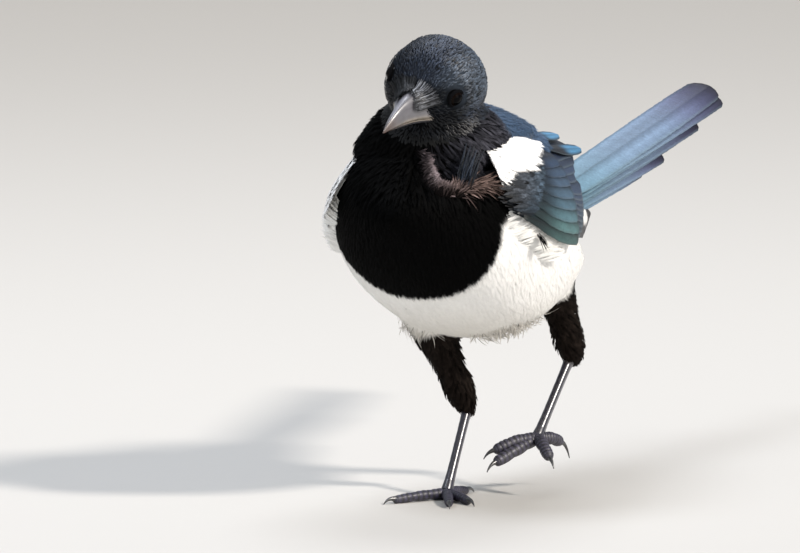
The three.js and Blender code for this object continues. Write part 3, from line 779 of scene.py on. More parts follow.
samples, sparse = ((150000, 1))


def growCoat():
    points, normals, uv = surface.sample(samples)
    local = inHead(points)
    # each point's coat, counted in the order above
    zone = np.full(len(points), 2)
    zone[(points[:, 2] > 150) & (points[:, 1] > -34)] = 3
    zone[(points[:, 2] > 148) & (points[:, 1] < -34)] = 1
    zone[lengths(local / [1, 1.1, 1]) < 25.5] = 0
    zone[markingsAndPaintedLight(points + lieAt(points, normals) * 6)[1] > 0.5] = 4
    for leg in legs.values():
        zone[onThigh(leg, points, leg["black"], 12.5)] = 5
    keep = np.maximum(underWing(points, 1), underWing(points, -1)) < 0.5
    for at in eyeAt.values():
        keep &= lengths(points - at) > eye["radius"] + 1.4
    keep &= ~((local[:, 1] > head["face"] - 2.5) & (np.abs(local[:, 0]) < 7) & (np.abs(local[:, 2]) < 8))
    counts = {}
    for k, (name, rule) in enumerate(coats.items()):
        chosen = np.flatnonzero(keep & (zone == k))
        chosen = chosen[thin(points[chosen], rule["spacing"] * sparse)]
        at, count = points[chosen], len(chosen)
        length = rule["length"] * rng.normal(1, 0.05 if name == "breast" else 0.12, count)
        width = rule["width"] * rng.normal(1, 0.12, count)
        if name == "head":
            # tiny near the bill and eyes, longer over the nape and on the cheeks
            size = mix(0.6, 1.35, step(8, 45, lengths(at - billRoot)))
            size = size * mix(1, 1.6, step(-3, -14, local[chosen, 2]))
            length, width = length * size, width * size
        if name == "neck":
            # long and loose under the chin
            length = length * (1 + 0.5 * np.exp(-(lengths(at - throat["at"]) / 16) ** 2))
        lift = rule["lift"] * rng.normal(1, 0.16, count)
        spine, side, out = grow(at, normals[chosen], length, rule["sway"])
        # the edge of the black bib runs cleanly across the feathers of breast and belly
        byPlace = name in ("breast", "belly")
        colours = np.ones((count, 3)) if byPlace else markingsAndPaintedLight(spine[:, 3])[0]
        if name == "neck":
            # the upper neck on the bird's left, the lit side, is painted greyer, a painted sheen on its black
            pale = 0.8 * step(12, 28, at[:, 0]) * step(152, 165, at[:, 2])
            colours = tint(colours, "34343a", pale)
        colours = colours * rng.normal(1, rule["jitter"], count)[:, None]
        setPlumes("coat_" + name, spine, side, out, width, lift, colours, uv[chosen], rule["finish"],
                  ["head" if name == "head" else "torso"],
                  "white_plumage" if name == "belly" else "black_plumage", barbs=rule["barbs"],
                  tipShade=rule["tip"], baseShade=1.0 if name in ("belly", "head") else 0.7,
                  blunt=rule["blunt"], paint=(lambda p: markingsAndPaintedLight(p)[0]) if byPlace else None)
        counts[name] = count
    # loose down that hangs between the legs
    near = (points[:, 0] > 16) | (points[:, 0] < -2)
    low = np.flatnonzero(keep & near & (zone == 4) & (points[:, 2] < 84) & (points[:, 1] > -12))
    low = low[thin(points[low], 1.3)]
    count = len(low)
    spine, side, out = grow(points[low], normals[low], rng.normal(10, 2.4, count), 0.4)
    setPlumes("coat_wisps", spine, side, out, rng.normal(0.45, 0.1, count), rng.normal(2.8, 1.1, count),
              linear("e4dfd6") * np.clip(rng.normal(0.9, 0.3, (count, 1)), 0.1, 1), uv[low],
              "white", ["torso"], "white_plumage", barbs=3, jitter=1.2, blunt=0.0)
    return counts


# Feathers along the ruff stand up towards the hollow on the bird's right, and splay like a comb
# on its left
def growRuff():
    count = ruff["count"]
    along = placesAlong(ruff["rim"])
    t = rng.random(count)
    rim = np.stack([np.interp(t, along, ruff["rim"][:, k]) for k in range(3)], axis=-1)
    outward = unit(rim - ruff["hollow"])
    comb = step(0.55, 0.75, t)
    away = rng.random(count) ** 1.4
    roots, normals = surface.nearest(rim + outward * mix(3.2 * away - 0.2, 3.0 * away - 2, comb)[:, None])
    left = unit(ruff["rim"][-1] - ruff["rim"][3])
    way = mix(-outward, unit(left + outward * rng.uniform(-0.3, 1.0, count)[:, None]), comb[:, None])
    way = way + rng.normal(0, 0.26, (count, 3))
    way = unit(way - normals * np.sum(way * normals, axis=1)[:, None])
    length = mix(5.2, 9.5, comb) * rng.normal(1, 0.15, count)
    spine = roots[:, None] + way[:, None] * (length[:, None] * places)[..., None]
    # the feathers are paler brownish grey at the rim and darker away from it: their brownish tips, with
    # painted sunlight on the rim
    colours = blend([(0, "7c7174"), (0.25, "8c8083"), (0.5, "6c5f5e"), (0.75, "74615a"), (1, "4c413d")], t)
    colours = colours * np.clip(rng.normal(1.05, 0.25, count) * (1 - away) ** 1.3, 0.03, 2)[:, None]
    keep = rng.random(count) > 0.62 * comb
    lift = mix(3.0, 2.6, comb) * rng.normal(1, 0.2, count)
    setPlumes("coat_ruff", spine[keep], atStops(np.cross(way, normals))[keep], atStops(normals)[keep],
              mix(0.95, 0.6, comb)[keep], lift[keep], colours[keep], surface.unwrapped(roots[keep]),
              "black", ["torso"], barbs=4, jitter=0.8, tipShade=1.5, baseShade=0.3, blunt=0.0)
    # long bluish strands hang from the cheek over the hollow
    count = strands["count"]
    stray = np.clip(rng.normal(0, 1, (count, 3)), -1.4, 1.4) * strands["spread"]
    start = strands["from"] + stray
    end = strands["to"] + stray * [0.7, 1, 1] + rng.normal(0, 0.8, (count, 3))
    t = places[:, None]
    out = atStops(np.tile(unit(vec(0.3, -0.85, 0.25)), (count, 1)))
    spine = mix(start[:, None], end[:, None], t) + out * (2.5 * t * (1 - t))
    shade = linear("1b222d") * np.clip(rng.normal(0.7, 0.6, count), 0.05, 2)[:, None]
    setPlumes("coat_strands", spine, sideOf(spine, out), out, rng.normal(0.7, 0.15, count),
              rng.normal(0.5, 0.3, count), shade, surface.unwrapped(start), "crown", ["torso"],
              barbs=4, jitter=1.0, baseShade=0.7, blunt=0.0)


print("coat feathers", growCoat())
growRuff()


# Large feathers. Each is a vane on a surface lay(along, over, out), with a shaft down its middle,
# its own paint and a cell of its own on the unwrap.
vaneSet = {"columns": np.array([-1, -0.8, -0.45, -0.12, 0, 0.12, 0.45, 0.8, 1]),
           "blunt": 0.3, "shaft": 0.28, "ragged": 0.012, "wave": 0.05}


def bigVane(lay, root, tip, width, out, sag=0, tilt=0.15, camber=0.3, rows=40, even=0, round=False):
    u, v = np.meshgrid(vaneSet["columns"], np.linspace(0, 1, rows) ** 0.9)
    length = tip[0] - root[0]
    lag = min(0.6 * width, 0.2 * length) / length
    curve = (1 - np.sqrt(1 - 0.97 * u * u)) * v ** 9 if round else u * u * v ** 4
    reach = v ** 0.8 * (1 - lag * curve)
    swell = np.sin(math.pi * mix(0.2, 0.72, reach)) ** (1 - even)
    quill = mix(0.55, 1, np.minimum(1, 5 * v))
    end = 0.9 if round else vaneSet["blunt"] * (1 + u * u)
    half = 0.5 * width * quill * mix(swell, end, v ** 8)
    # the edge is never quite even
    ragged = 1 + vaneSet["ragged"] * rng.normal(size=v.shape) * (np.abs(u) > 0.7)
    h = mix(root[1], tip[1], reach) + 4 * sag * reach * (1 - reach) + u * half * ragged
    shaft = vaneSet["shaft"] * np.exp(-(u / 0.12) ** 2) * (1 - 0.8 * v)
    wave = vaneSet["wave"] * np.sin(v * 23 + 5 * rng.random()) * np.abs(u)
    n = out - tilt * u * half - camber * u * u + shaft + wave
    along = reach * length
    points = lay(root[0] + along, h, n).reshape(-1, 3)
    return points, u.ravel(), v.ravel(), np.stack([u * half, along], axis=-1).reshape(-1, 2)


def setVanes(name, vanes, paint, node, thickness=0.18):
    cells = math.ceil(math.sqrt(len(vanes)))
    made, offset = [], 0
    for k, (points, u, v, vane) in enumerate(vanes):
        columns = len(vaneSet["columns"])
        faces = gridFaces(len(points) // columns, columns) + offset
        bake = (np.array([k % cells, k // cells]) + 0.05 + 0.9 * np.stack([(u + 1) / 2, v], axis=-1)) / cells
        made.append((points, faces, bake, vane, np.clip(paint(k, u, v, points), 0, 1)))
        offset += len(points)
    points, faces, bake, vane, coat = [np.concatenate(x) for x in zip(*made)]
    piece = makePiece(name, points, faces, 4, "vane", [node], bake=bake, vane=vane, coat=coat)
    solid = piece.modifiers.new("thickness", "SOLIDIFY")
    solid.thickness = thickness * scale
    solid.offset = 0


def ranks(count, make):
    return [make(k, k / (count - 1)) for k in range(count)]


# Edges of the bend of the wing, and of the white patch over the shoulder, along the wing
bendLow = through([(6, -3), (14, -7), (21, -13), (32, -18), (42, -21.5), (52, -20)])
bendHigh = through([(6, 7), (27, 12), (52, 17)])
patchHigh = through([(7, 9.5), (27, 15.8), (54, 19.2), (67, 18)])
patchLow = through([(7, -5), (15, -2.5), (23.5, 2), (40, 3.5), (51.5, 10.8), (67, 16.2)])
# how far along the black of the bend reaches, over the wing
bendReach = through([(-22, 17), (-14, 23), (-7, 31), (1, 41), (5, 46), (16, 50)])
# edge of the back's feathers where they lap over the wing
mantleLow = through([(46, 19.5), (66, 17.5), (84, 16.5), (96, 23.5), (106, 32)])
# how far each tier stands out from the trunk, in millimetres
tiers = {"primary": 1.15, "secondary": 8.45, "blade": 10.35, "covert": 12.45}


def shaftLine(u, v):
    return np.exp(-(u / 0.13) ** 2) * (1 - 0.5 * v)


def buildWing(side, name):
    lay = wingLay(side)
    primaries = ranks(9, lambda k, t: bigVane(
        lay, [34 + 2 * k, -9 + 1.1 * k], [mix(186, 138, t ** 1.3), mix(-6, -9, t)], mix(10, 17, t),
        tiers["primary"] + 0.56 * k, sag=mix(-4.5, -1.5, t), tilt=0, camber=0.1, rows=70))

    def primaryPaint(k, u, v, p):
        inner = step(-0.02, 0.05, u) * step(0.3, 0.36, v) * (1 - step(0.84, 0.88, v)) * (k < 7)
        # the white of an inner vane shows as a small crescent behind the long feathers
        s, h, _ = inWing(p, side)
        shown = 1 - step(0.85, 1.0, np.hypot((s - 141) / 24, (h + 4.2) / 6.4))
        colour = tint(linear("0c0c0f"), "2c2b2e", 0.3 + 0.5 * step(-0.6, -1, u))
        colour = tint(colour, "f2f0ec", np.maximum(inner, shown))
        return tint(colour, "0c0c0f", 0.6 * shaftLine(u, v) * (1 - shown))

    setVanes(name + "_primaries_feathers", primaries, primaryPaint, name + "_primaries")
    # secondaries, then tertials, then the blue edges of two that show over the back
    flight = ranks(10, lambda k, t: bigVane(
        lay, [34 + 2.8 * k, mix(-7, 3, t)], [mix(80, 128, t ** 0.7), mix(-14, 6, t)], 13, tiers["secondary"],
        sag=mix(-3, 2, t), rows=52))
    flight += ranks(4, lambda k, t: bigVane(
        lay, [58 + 2 * k, mix(7, 13, t)], [mix(128, 160, t), mix(12, 22, t)], 13, tiers["secondary"],
        sag=mix(2, 5, t), rows=52))
    flight += [bigVane(lay, *ends, 6, tiers["blade"]) for ends in
               (([96, 21], [167, 20.5]), ([90, 29], [147, 28]))]

    def flightPaint(k, u, v, p):
        main = blend([(0, "2c4046"), (0.5, "303f56"), (0.8, "26344c"), (0.88, "202c42"), (0.9, "4480a8"),
                      (1, "5890b8")], k / (len(flight) - 1)) * rng.normal(1, 0.12)
        colour = mix(mix(linear("060b12"), main, 0.3), main, step(0.4, -0.7, u)[:, None])
        if k > len(flight) - 3:
            colour = mix(linear("0c1018"), main, (step(0.3, 0.6, v) * step(0.95, 0.6, np.abs(u)))[:, None])
        # a painted sheen along each vane's outer edge
        colour = tint(colour, "6c8794", 0.22 * step(-0.82, -1.0, u))
        return tint(colour, "07090d", 0.7 * shaftLine(u, v))

    setVanes(name + "_secondaries_feathers", flight, flightPaint, name + "_secondaries")
    # the right wing's lowest coverts lie closer under the flank
    lowest = -18 if side > 0 else -13
    greater = ranks(8, lambda k, t: bigVane(
        lay, [17 + 3.1 * k, mix(lowest + 5, 8, t)], [mix(62, 80, t) + rng.normal(0, 1.2), mix(lowest, 14, t)],
        9.8 + rng.normal(0, 0.5), tiers["covert"], sag=mix(-2, 1, t), rows=30, round=True))

    def covertPaint(k, u, v, p):
        main = blend([(0, "35504f"), (0.15, "557a7c"), (0.35, "4a6876"), (0.65, "445a70"), (1, "2c405a")],
                     k / (len(greater) - 1)) * rng.normal(1, 0.12)
        # each covert is dark at its base, over its covered side and a little at its tip: its black inner
        # vane, with painted shade where the feathers lap over each other
        light = 0.12 + 0.88 * step(0.35, -0.75, u) * step(0.05, 0.5, v) * (1 - 0.4 * step(0.8, 1, v))
        slant = v * 60 - 5 * np.abs(u)
        streak = 1 + 0.16 * np.sin(2.3 * slant + k) * np.sin(0.5 * slant + 2 * k)
        colour = mix(linear("060a0f"), main, light[:, None]) * streak[:, None]
        return tint(colour, "07090d", 0.6 * shaftLine(u, v))

    setVanes(name + "_coverts_feathers", greater, covertPaint, name + "_coverts")
    # sheets that carry the small feathers of the bend and of the shoulder
    for label, node, first, last, lower, upper, level, sunk, code, slot in (
            ("_core", name + "_coverts", 6, 52, bendLow, bendHigh, 11.4, 8, "060608", "black_plumage"),
            ("_patch", "scapulars_" + name[5:], 11 if side > 0 else 6.5, 62, patchLow, patchHigh, 13.2, 2,
             "f6f4f0", "white_plumage")):
        s, t = np.meshgrid(np.linspace(first, last, 40), np.linspace(0, 1, 24), indexing="ij")
        h = mix(lower(s) + 1, upper(s) - 1, t)
        edge = np.minimum(np.minimum(s - first, last - s) / 8, np.minimum(t, 1 - t) * 4)
        n = level - sunk * (1 - np.clip(edge, 0, 1)) ** 2
        uv = np.stack([(s - first) / (last - first), t], axis=-1).reshape(-1, 2)
        makePiece(name + label, lay(s, h, n).reshape(-1, 3), gridFaces(40, 24), 4, "skin", [node],
                  bake=uv, coat=linear(code))
    return lay


# Evenly strewn places between two edges
def strewn(first, last, low, high, spacing):
    count = int(120 * (last - first) / spacing ** 2)
    s = rng.uniform(first, last, count)
    h = rng.uniform(-30, 40, count)
    inside = (h > low(s)) & (h < high(s))
    s, h = s[inside], h[inside]
    kept = thin(np.stack([s, h, 0 * s], axis=-1), spacing * sparse)
    return s[kept], h[kept]


# Small feathers laid on a wing, from places along and over it, that drift over it by their tips
def wingPlumes(name, lay, s, h, n, length, width, lift, drift, colours, finish, node, slot, **look):
    along, over = s[:, None] + length[:, None] * places, h[:, None] + drift[:, None] * places
    spine = lay(along, over, n[:, None])
    out = unit(lay(along, over, n[:, None] + 1) - spine)
    bake = np.stack([s / 120, (h + 40) / 100], axis=-1)
    setPlumes(name, spine, sideOf(spine, out), out, width, lift, np.clip(colours, 0, 1), bake, finish, [node],
              slot, **look)


# Loose feathers from places on the skin to places on a wing
def flankTuft(name, lay, s, root, tip, width, code, finish, node, slot):
    count = len(s)
    t = places[:, None]
    out = atStops(unit(lay(s, bendLow(s), 12.0) - lay(s, bendLow(s), 8.0)))
    spine = mix(root[:, None], tip[:, None], t) + out * (1.5 * t * (1 - t))
    bake = np.stack([s / 120, np.linspace(0.05, 0.2, count)], axis=-1)
    setPlumes(name, spine, sideOf(spine, out), out, rng.normal(width, 0.15, count),
              rng.normal(0.8, 0.3, count), np.tile(linear(code), (count, 1)), bake, finish, [node], slot,
              barbs=4, jitter=1.2, baseShade=1.0, blunt=0.0)


def dressWing(side, name, lay):
    coverts, shoulder = name + "_coverts", "scapulars_" + name[5:]
    front, lower = (10.5, 0) if side > 0 else (6, 9)  # where the white of the shoulder begins
    # lesser coverts over the bend, fine and black, with a blue gloss towards the long feathers
    s, h = strewn(14.5, 50, bendLow, bendHigh, 0.95)
    beside = (h < patchLow(s) + 0.5 - lower) | (h > patchHigh(s) - 0.5) | (s < front + 0.5)
    inside = beside & (s < bendReach(h))
    s, h = s[inside], h[inside]
    count = len(s)
    far = s / bendReach(h)
    length = np.minimum(mix(5, 8, far) * rng.normal(1, 0.1, count), s - 4)
    edge = np.minimum(h - bendLow(s), bendHigh(s) - h)
    n = 11.6 + far - 4 * (1 - np.clip(edge / 4, 0, 1)) ** 2 - 3 * (1 - np.clip((s - 5) / 8, 0, 1)) ** 2
    colours = tint(linear("303236"), "27323c", far ** 3) * rng.normal(1, 0.5, (count, 1))
    colours = colours * (mix(0.08, 1, step(12, 22, s)) * mix(0.45, 1, step(-15, -5, h)))[:, None]
    stray = rng.normal(-0.5, 1.3, count)
    wingPlumes(name + "_lesser", lay, s - length, h - stray, n, length,
               mix(1.4, 2.4, far) * rng.normal(1, 0.1, count), rng.normal(1.1, 0.2, count), stray, colours,
               "crown", coverts, "black_plumage", barbs=6, tipShade=2.2, blunt=0.2)
    # scapulars: the loose white patch over the shoulder, placed by the tips of its feathers
    s, h = strewn(front + 3, 67, lambda x: patchLow(x) - lower, patchHigh, 1.15)
    count = len(s)
    length = np.minimum(rng.normal(11, 1.3, count), s - front + 0.5)
    back = np.clip(0.5 * (h + patchHigh(s - length)), h, h + 4)
    n = 13.5 + rng.uniform(0, 0.6, count) - 1.6 * (1 - np.clip((s - length - front + 1.5) / 8, 0, 1)) ** 2
    colours = tones("fbfaf8", count, 0.01)
    wingPlumes(shoulder + "_feathers", lay, s - length, back, n, length, rng.normal(2.6, 0.3, count),
               rng.normal(0.55, 0.15, count), h - back, colours, "white", shoulder, "white_plumage",
               jitter=0.7, baseShade=1.0, blunt=0.1)
    # feathers of the back that lap over the wing's upper edge
    s, h = strewn(46, 106, mantleLow, lambda x: 40 + 0 * x, 2.2)
    count = len(s)
    length = rng.normal(11, 1.2, count)
    back = np.minimum(h + 2, 41)
    colours = tones("34465c", count, 0.15)
    wingPlumes(name + "_mantle", lay, s - length, back, rng.normal(12.2, 0.4, count), length,
               rng.normal(5.4, 0.5, count), rng.normal(1.2, 0.2, count), h - back, colours,
               "crown", name + "_secondaries", "black_plumage", barbs=11, tipShade=1.5, blunt=1.0)
    # white flank feathers rise from the skin and lap over the wing's lower edge, as a fringe
    count = 520
    first, last, lowLap, highLap, stand = (16, 48, -6, 1, 0) if side > 0 else (12, 36, -4, 4, 2.6)
    s = rng.uniform(first, last, count)
    lap = rng.uniform(lowLap, highLap, count)
    root, _ = surface.nearest(lay(s - 4, bendLow(s) + lap - rng.uniform(2.5, 4, count), 8.0))
    tip = lay(s + rng.normal(2.5, 1.6, count), bendLow(s) + lap, rng.normal(9.8, 0.3, count) + stand)
    flankTuft(name + "_flank", lay, s, root, tip, 1.0, "f6f5f1", "white", coverts, "white_plumage")
    if side > 0:
        # a small black tuft below the wing
        count = 14
        s = rng.uniform(26.5, 28.5, count)
        root = lay(s - 2, rng.uniform(-20.5, -19, count), 10.6)
        tip = lay(s + rng.uniform(-1.5, 4, count), rng.uniform(-27, -22.5, count), rng.normal(12, 0.5, count))
        flankTuft(name + "_tuft", lay, s, root, tip, 0.55, "070708", "black", coverts, "black_plumage")


for side, name in ((1, "wing_left"), (-1, "wing_right")):
    dressWing(side, name, buildWing(side, name))
print("wings built")


# Tail: twelve feathers in six graded pairs
tail = {"length": 242, "root": vec(9.5, 70, 123), "yaw": -0.4, "pitch": 9.2, "roll": 24, "step": 0.9}


def buildTail():
    yaw, pitch, roll = [Matrix.Rotation(math.radians(tail[key]), 3, axis) for key, axis in
                        (("yaw", "Z"), ("pitch", "X"), ("roll", "Y"))]
    axes = np.array(yaw @ pitch @ roll)

    def roof(s, h, n):
        return tail["root"] + np.stack(np.broadcast_arrays(h, s, n - 0.006 * h * h), axis=-1) @ axes.T

    def feather(root, length, spread, width, level):
        return bigVane(roof, [0, root], [length, spread], width, -tail["step"] * level, tilt=0, camber=0.2,
                       even=0.75, rows=110, round=True)

    # the left side is fanned a little, the right side is closed under the middle pair
    vanes = []
    for k in range(5, 0, -1):
        t = k / 5
        for side, spread in ((1, mix(6, 12, t) + (-1 if k % 2 else 1)), (-1, -mix(1.6, 1, t))):
            vanes.append(feather(side * (1.5 + 0.7 * k), tail["length"] * mix(1, 0.52, t ** 1.15), spread,
                                 mix(13, 11.5, t), k + 1))
    vanes += [feather(0, tail["length"] - 5, 7, 14, 1), feather(0, tail["length"], 0.8, 18.5, 0)]

    def paint(k, u, v, p):
        colour = blend([(0, "10181d"), (0.08, "4a7080"), (0.3, "6f8fa2"), (0.5, "758ca4"), (0.7, "6e819a"),
                        (0.84, "5a627e"), (0.91, "41445e"), (0.97, "2a2a40"), (1.0, "1a1826")], v ** 0.8)
        # barbs slant out from the shaft, and catch the light unevenly
        slant = v * 240 - 9 * np.abs(u)
        streak = 1 + 0.13 * np.sin(31 * u + 9 * k + 3 * v) + 0.09 * np.sin(80 * u + 5 * v)
        streak = streak + 0.1 * np.sin(2.1 * slant + k) * np.sin(0.37 * slant + 2 * k)
        # the feathers under the middle pair are painted darker, painted shade
        colour = colour * streak[:, None] * (1 if k > 9 else 0.85)
        # a painted sheen along each feather's edges
        colour = tint(colour, "8fa9b2", 0.2 * step(0.85, 1, np.abs(u)))
        return tint(colour, "090b0f", 0.5 * shaftLine(u, v))

    setVanes("tail_feathers", vanes, paint, "tail", thickness=0.2)
    # coverts that close the tail's root above and below
    for label, sign, first, code, reach in (
            ("upper", 1, 1.5, "0d1218", 42), ("lower", -1, -7.5, "0a0a0d", 34)):
        count = 160
        s, h = rng.uniform(-14, 22, count), rng.uniform(-9, 9, count)
        along = s[:, None] + rng.normal(reach * 0.6, 3, count)[:, None] * places
        rise = sign * 3.5 * (1 - step(-10, 40, along)) + first
        spine = roof(along, h[:, None] * (1 + 0.05 * places), rise)
        out = unit(roof(along, h[:, None], rise + sign) - spine)
        bake = np.stack([(s + 20) / 60, (h + 15) / 40], axis=-1)
        setPlumes("tail_coverts_" + label, spine, sideOf(spine, out), out, rng.normal(6, 0.7, count),
                  rng.normal(0.8, 0.3, count), tones(code, count, 0.15), bake, "black", ["tail"],
                  barbs=11)


buildTail()
print("tail built")


# Bill, in two halves that meet along the line of the mouth
bill = {
    "length": 25.5, "gape": 0.12, "short": 1.6, "apart": 0.16,
    "culmen": through([(0, 7.4), (0.35, 6), (0.7, 3.1), (1, -1.2)]),
    "chin": through([(0, 4.3), (0.35, 3.8), (0.7, 2.3), (1, 0.1)]),
    "half": through([(-0.12, 10.6), (0, 8.6), (0.12, 7.0), (0.35, 4.8), (0.7, 2.6), (1, 0.35)]),
}


def mouthLine(t):
    return -3.8 + 2.6 * np.sin(math.pi * t * 0.55) - 0.8 * t * t


# Height of the bill's surface over the line of the mouth, and its half width, at an angle
def billAt(t, angle, upper=True):
    rise = np.maximum(np.sin(angle), 0) ** 0.85
    height = np.maximum(bill["culmen"](t) - mouthLine(t) if upper else bill["chin"](t), 0.35)
    return bill["half"](t) * np.cos(angle) * (1 - 0.25 * rise), height * rise


def buildBill(upper):
    rings = []
    reach = bill["length"] - (0 if upper else bill["short"])
    sign = 1 if upper else -1
    for t in np.linspace(-bill["gape"], 1, 70):
        wide, height = billAt(t, np.linspace(-0.12, math.pi + 0.12, 34), upper)
        z = mouthLine(t) + sign * (bill["apart"] + height)
        rings.append(onHead(wide, head["face"] + 0.3 + t * reach, z)[::sign])
    points, corners, sizes, uv = loft(rings)
    local = inHead(points)
    t = (local[:, 1] - head["face"]) / bill["length"]
    height = np.abs(local[:, 2] - mouthLine(t))
    colour = blend([(0, "55545a"), (0.6, "5a585d"), (0.88, "46352e"), (1, "3a2219")], t)
    # a painted highlight on the upper half's right side, and paler cutting edges
    colour = tint(colour, "8f8e96", 0.8 * step(0.3, -1.2, local[:, 0]) * step(1, 0.5, t) * upper)
    edge = np.exp(-(height / (1.3 if upper else 0.7)) ** 2) * step(0.9, 0.3, t)
    colour = tint(colour, "a89c8a", 0.8 * edge)
    name = "bill_upper" if upper else "bill_lower"
    makePiece(name + "_horn", points, corners, sizes, "horn", [name], bake=uv, coat=colour)


buildBill(True)
buildBill(False)


# Bristles that lie forward over the nostrils
bristleSet = {"count": 1900, "width": 0.36}


def buildBristles():
    count = bristleSet["count"]
    side = rng.choice([-1, 1], (count, 1))
    angle = np.radians(rng.uniform(20, 88, (count, 1)))
    start = rng.uniform(15.5, 19.5, (count, 1))
    # long at the sides, short on the ridge
    end = mix(25.2, 21.2, step(0.5, 1.45, angle)) + rng.normal(0, 0.8, (count, 1)) - 0.5 * (19.5 - start)
    forward = mix(start, end, places)
    onBill = step(16.5, 20.5, forward)
    along = np.clip((forward - head["face"]) / bill["length"], 0, 1)

    def around(stand):
        wide, height = billAt(along, angle)
        x = mix(headHalf(forward) * np.cos(angle) * 0.97, wide, onBill) + stand * np.cos(angle)
        z = mix(headUp(forward) * np.sin(angle) * 0.97, mouthLine(along) + 0.8 + height, onBill)
        return onHead(side * x, forward, z + stand * np.sin(angle))

    stand = 0.1 + 0.9 * rng.random((count, 1)) + 0.9 * places * (1 - places)
    spine = around(stand)
    out = unit(around(stand + 1) - spine)
    # hairs are painted with pale glints at random; the bird's right side of the mound and its lower hairs are
    # painted in shade
    shade = mix(linear("0c0c0f"), linear("a2a6ae"), rng.random((count, 1)) ** 2.6)
    shade = shade * np.where(side < 0, 0.2, 1.0) * mix(0.35, 1, step(0.5, 1.2, angle))
    setPlumes("bristles", spine, sideOf(spine, out), out, rng.normal(bristleSet["width"], 0.12, count),
              rng.normal(0.3, 0.15, count), shade,
              np.c_[0.3 + side * 0.1 + start * 0.01, 0.5 + angle * 0.05],
              "crown", ["head"], barbs=3, jitter=0.3, cup=0.1, tipShade=1.6, blunt=0.0)


buildBristles()


# Eyes and lids

def buildEye(side, name):
    at, radius = eyeAt[side], eye["radius"]
    look = unit(side * 0.93 * headAxes[0] + 0.36 * headAxes[1] + 0.06 * headAxes[2])
    across = unit(np.cross(look, headAxes[2]))
    upward = np.cross(across, look)
    rings = []
    for a in np.linspace(0.02, math.pi - 0.02, 40):
        bulge = 1 + 0.05 * math.exp(-(a / 0.5) ** 2)  # the clear front stands out a little
        wide = radius * math.sin(a)
        rings.append(oval(at + look * (radius * bulge * math.cos(a)), across, upward, wide, wide, sides=40))
    points, corners, sizes, uv = loft(rings)
    turn = np.arccos(np.clip(unit(points - at) @ look, -1, 1))
    colour = blend([(0, "030304"), (0.5, "030304"), (0.54, "0c0705"), (0.8, "120a06"), (0.88, "040404"),
                    (3.2, "060505")], turn)
    makePiece(name + "_ball", points, corners, sizes, "eye", [name], bake=uv, coat=colour)
    # lids: a wrinkled ring with a narrow opening
    rows, sides = 56, 14
    rings = []
    for a in np.linspace(0, 2 * math.pi, rows, endpoint=False):
        radial = across * math.cos(a) + upward * math.sin(a)
        centre = at + look * 2.7 + radial * (3.9 - 0.35 * abs(math.sin(a)))
        thick = 0.85 * (1 + 0.14 * math.sin(a * 23))
        rings.append(oval(centre, radial, look, thick, thick, sides=sides))
    faces = gridFaces(rows + 1, sides, round=True) % (rows * sides)
    uv = np.stack(np.meshgrid(np.linspace(0, 1, sides), np.linspace(0, 1, rows)), axis=-1).reshape(-1, 2)
    makePiece(name + "_lids", np.concatenate(rings), faces, 4, "lid", ["head"], bake=uv,
              coat=linear("09090b"))


buildEye(1, "eye_left")
buildEye(-1, "eye_right")
print("head built")


# Legs: scutes overlap down the front of the shank and along the top of each toe. Depths are parts
# of the thickness, the rest is in millimetres.
legSet = {
    "plates": 9, "plateDepth": 0.035, "scutes": 10, "scuteDepth": 0.13, "shank": 3.8, "ball": 3.5,
    "claw": 9.6, "hindClaw": 12, "clawTip": 2.5,
}


def scutes(count, depth, deep=1.0):
    def shape(t, angle):
        facing = np.clip(np.sin(angle) + 0.6, 0, 1)
        oval = 1 + (deep - 1) * np.abs(np.sin(angle))
        return oval * (1 + depth * facing * np.sin(math.pi * ((t * count) % 1)) ** 0.7)
    return shape


# Toes have a pad under each knuckle
def padded(t, angle):
    knuckle = 0.09 * np.abs(np.sin(math.pi * t * 3)) * (1 + np.clip(-np.sin(angle), 0, 1))
    return scutes(legSet["scutes"], legSet["scuteDepth"])(t, angle) * (0.94 + knuckle)


# Toes of the standing foot are given by their way and length, those of the lifted one by a knuckle,
# a tip and how far the claw drops
footSet = {
    "right": {
        # the standing foot's grey is darker than the lifted one's: painted shade
        "root": (0, 0, 2.9), "level": True, "grey": "35324a",
        "toes": {"inner": ((26, -24), 22), "middle": ((14, -32), 28), "outer": ((-21, -31), 28),
                 "hind": ((3, 28), 18)},
    },
    "left": {
        "root": (29.5, 37, 25), "level": False, "grey": "3e3b4e",
        "toes": {"inner": ((22.5, 25, 24), (16.5, 19, 21), -0.25),
                 "middle": ((25.5, 25, 21.5), (19.5, 12.5, 16.5), -0.28),
                 "outer": ((36, 28, 22.5), (40.5, 23.5, 18.5), -0.2),
                 "hind": ((33.5, 45, 24), (35, 51, 22), -0.55)},
    },
}


def clawRings(start, way, drop, length):
    stops = []
    for t in np.linspace(0, 1, 9):
        at = start + way * (length * t * (1 - 0.25 * t))
        at[2] += 0.9 * math.sin(math.pi * t * 0.75) + drop * length * t * t
        stops.append((*at, mix(2.9, 0.4, t ** 0.9)))
    return limbRings(stops, 26, 16)


# dark between the scutes and paler on them
def scuteHue(points, v, count, grey):
    noise = 0.5 + 0.5 * np.sin(points[:, 0] * 1.9 + points[:, 2] * 2.3)
    saw = (v * count) % 1
    crest = step(0.05, 0.4, saw) * (1 - step(0.6, 0.95, saw))
    return tint(linear("08070b"), grey, (0.1 + 0.9 * crest) * (0.6 + 0.4 * noise))


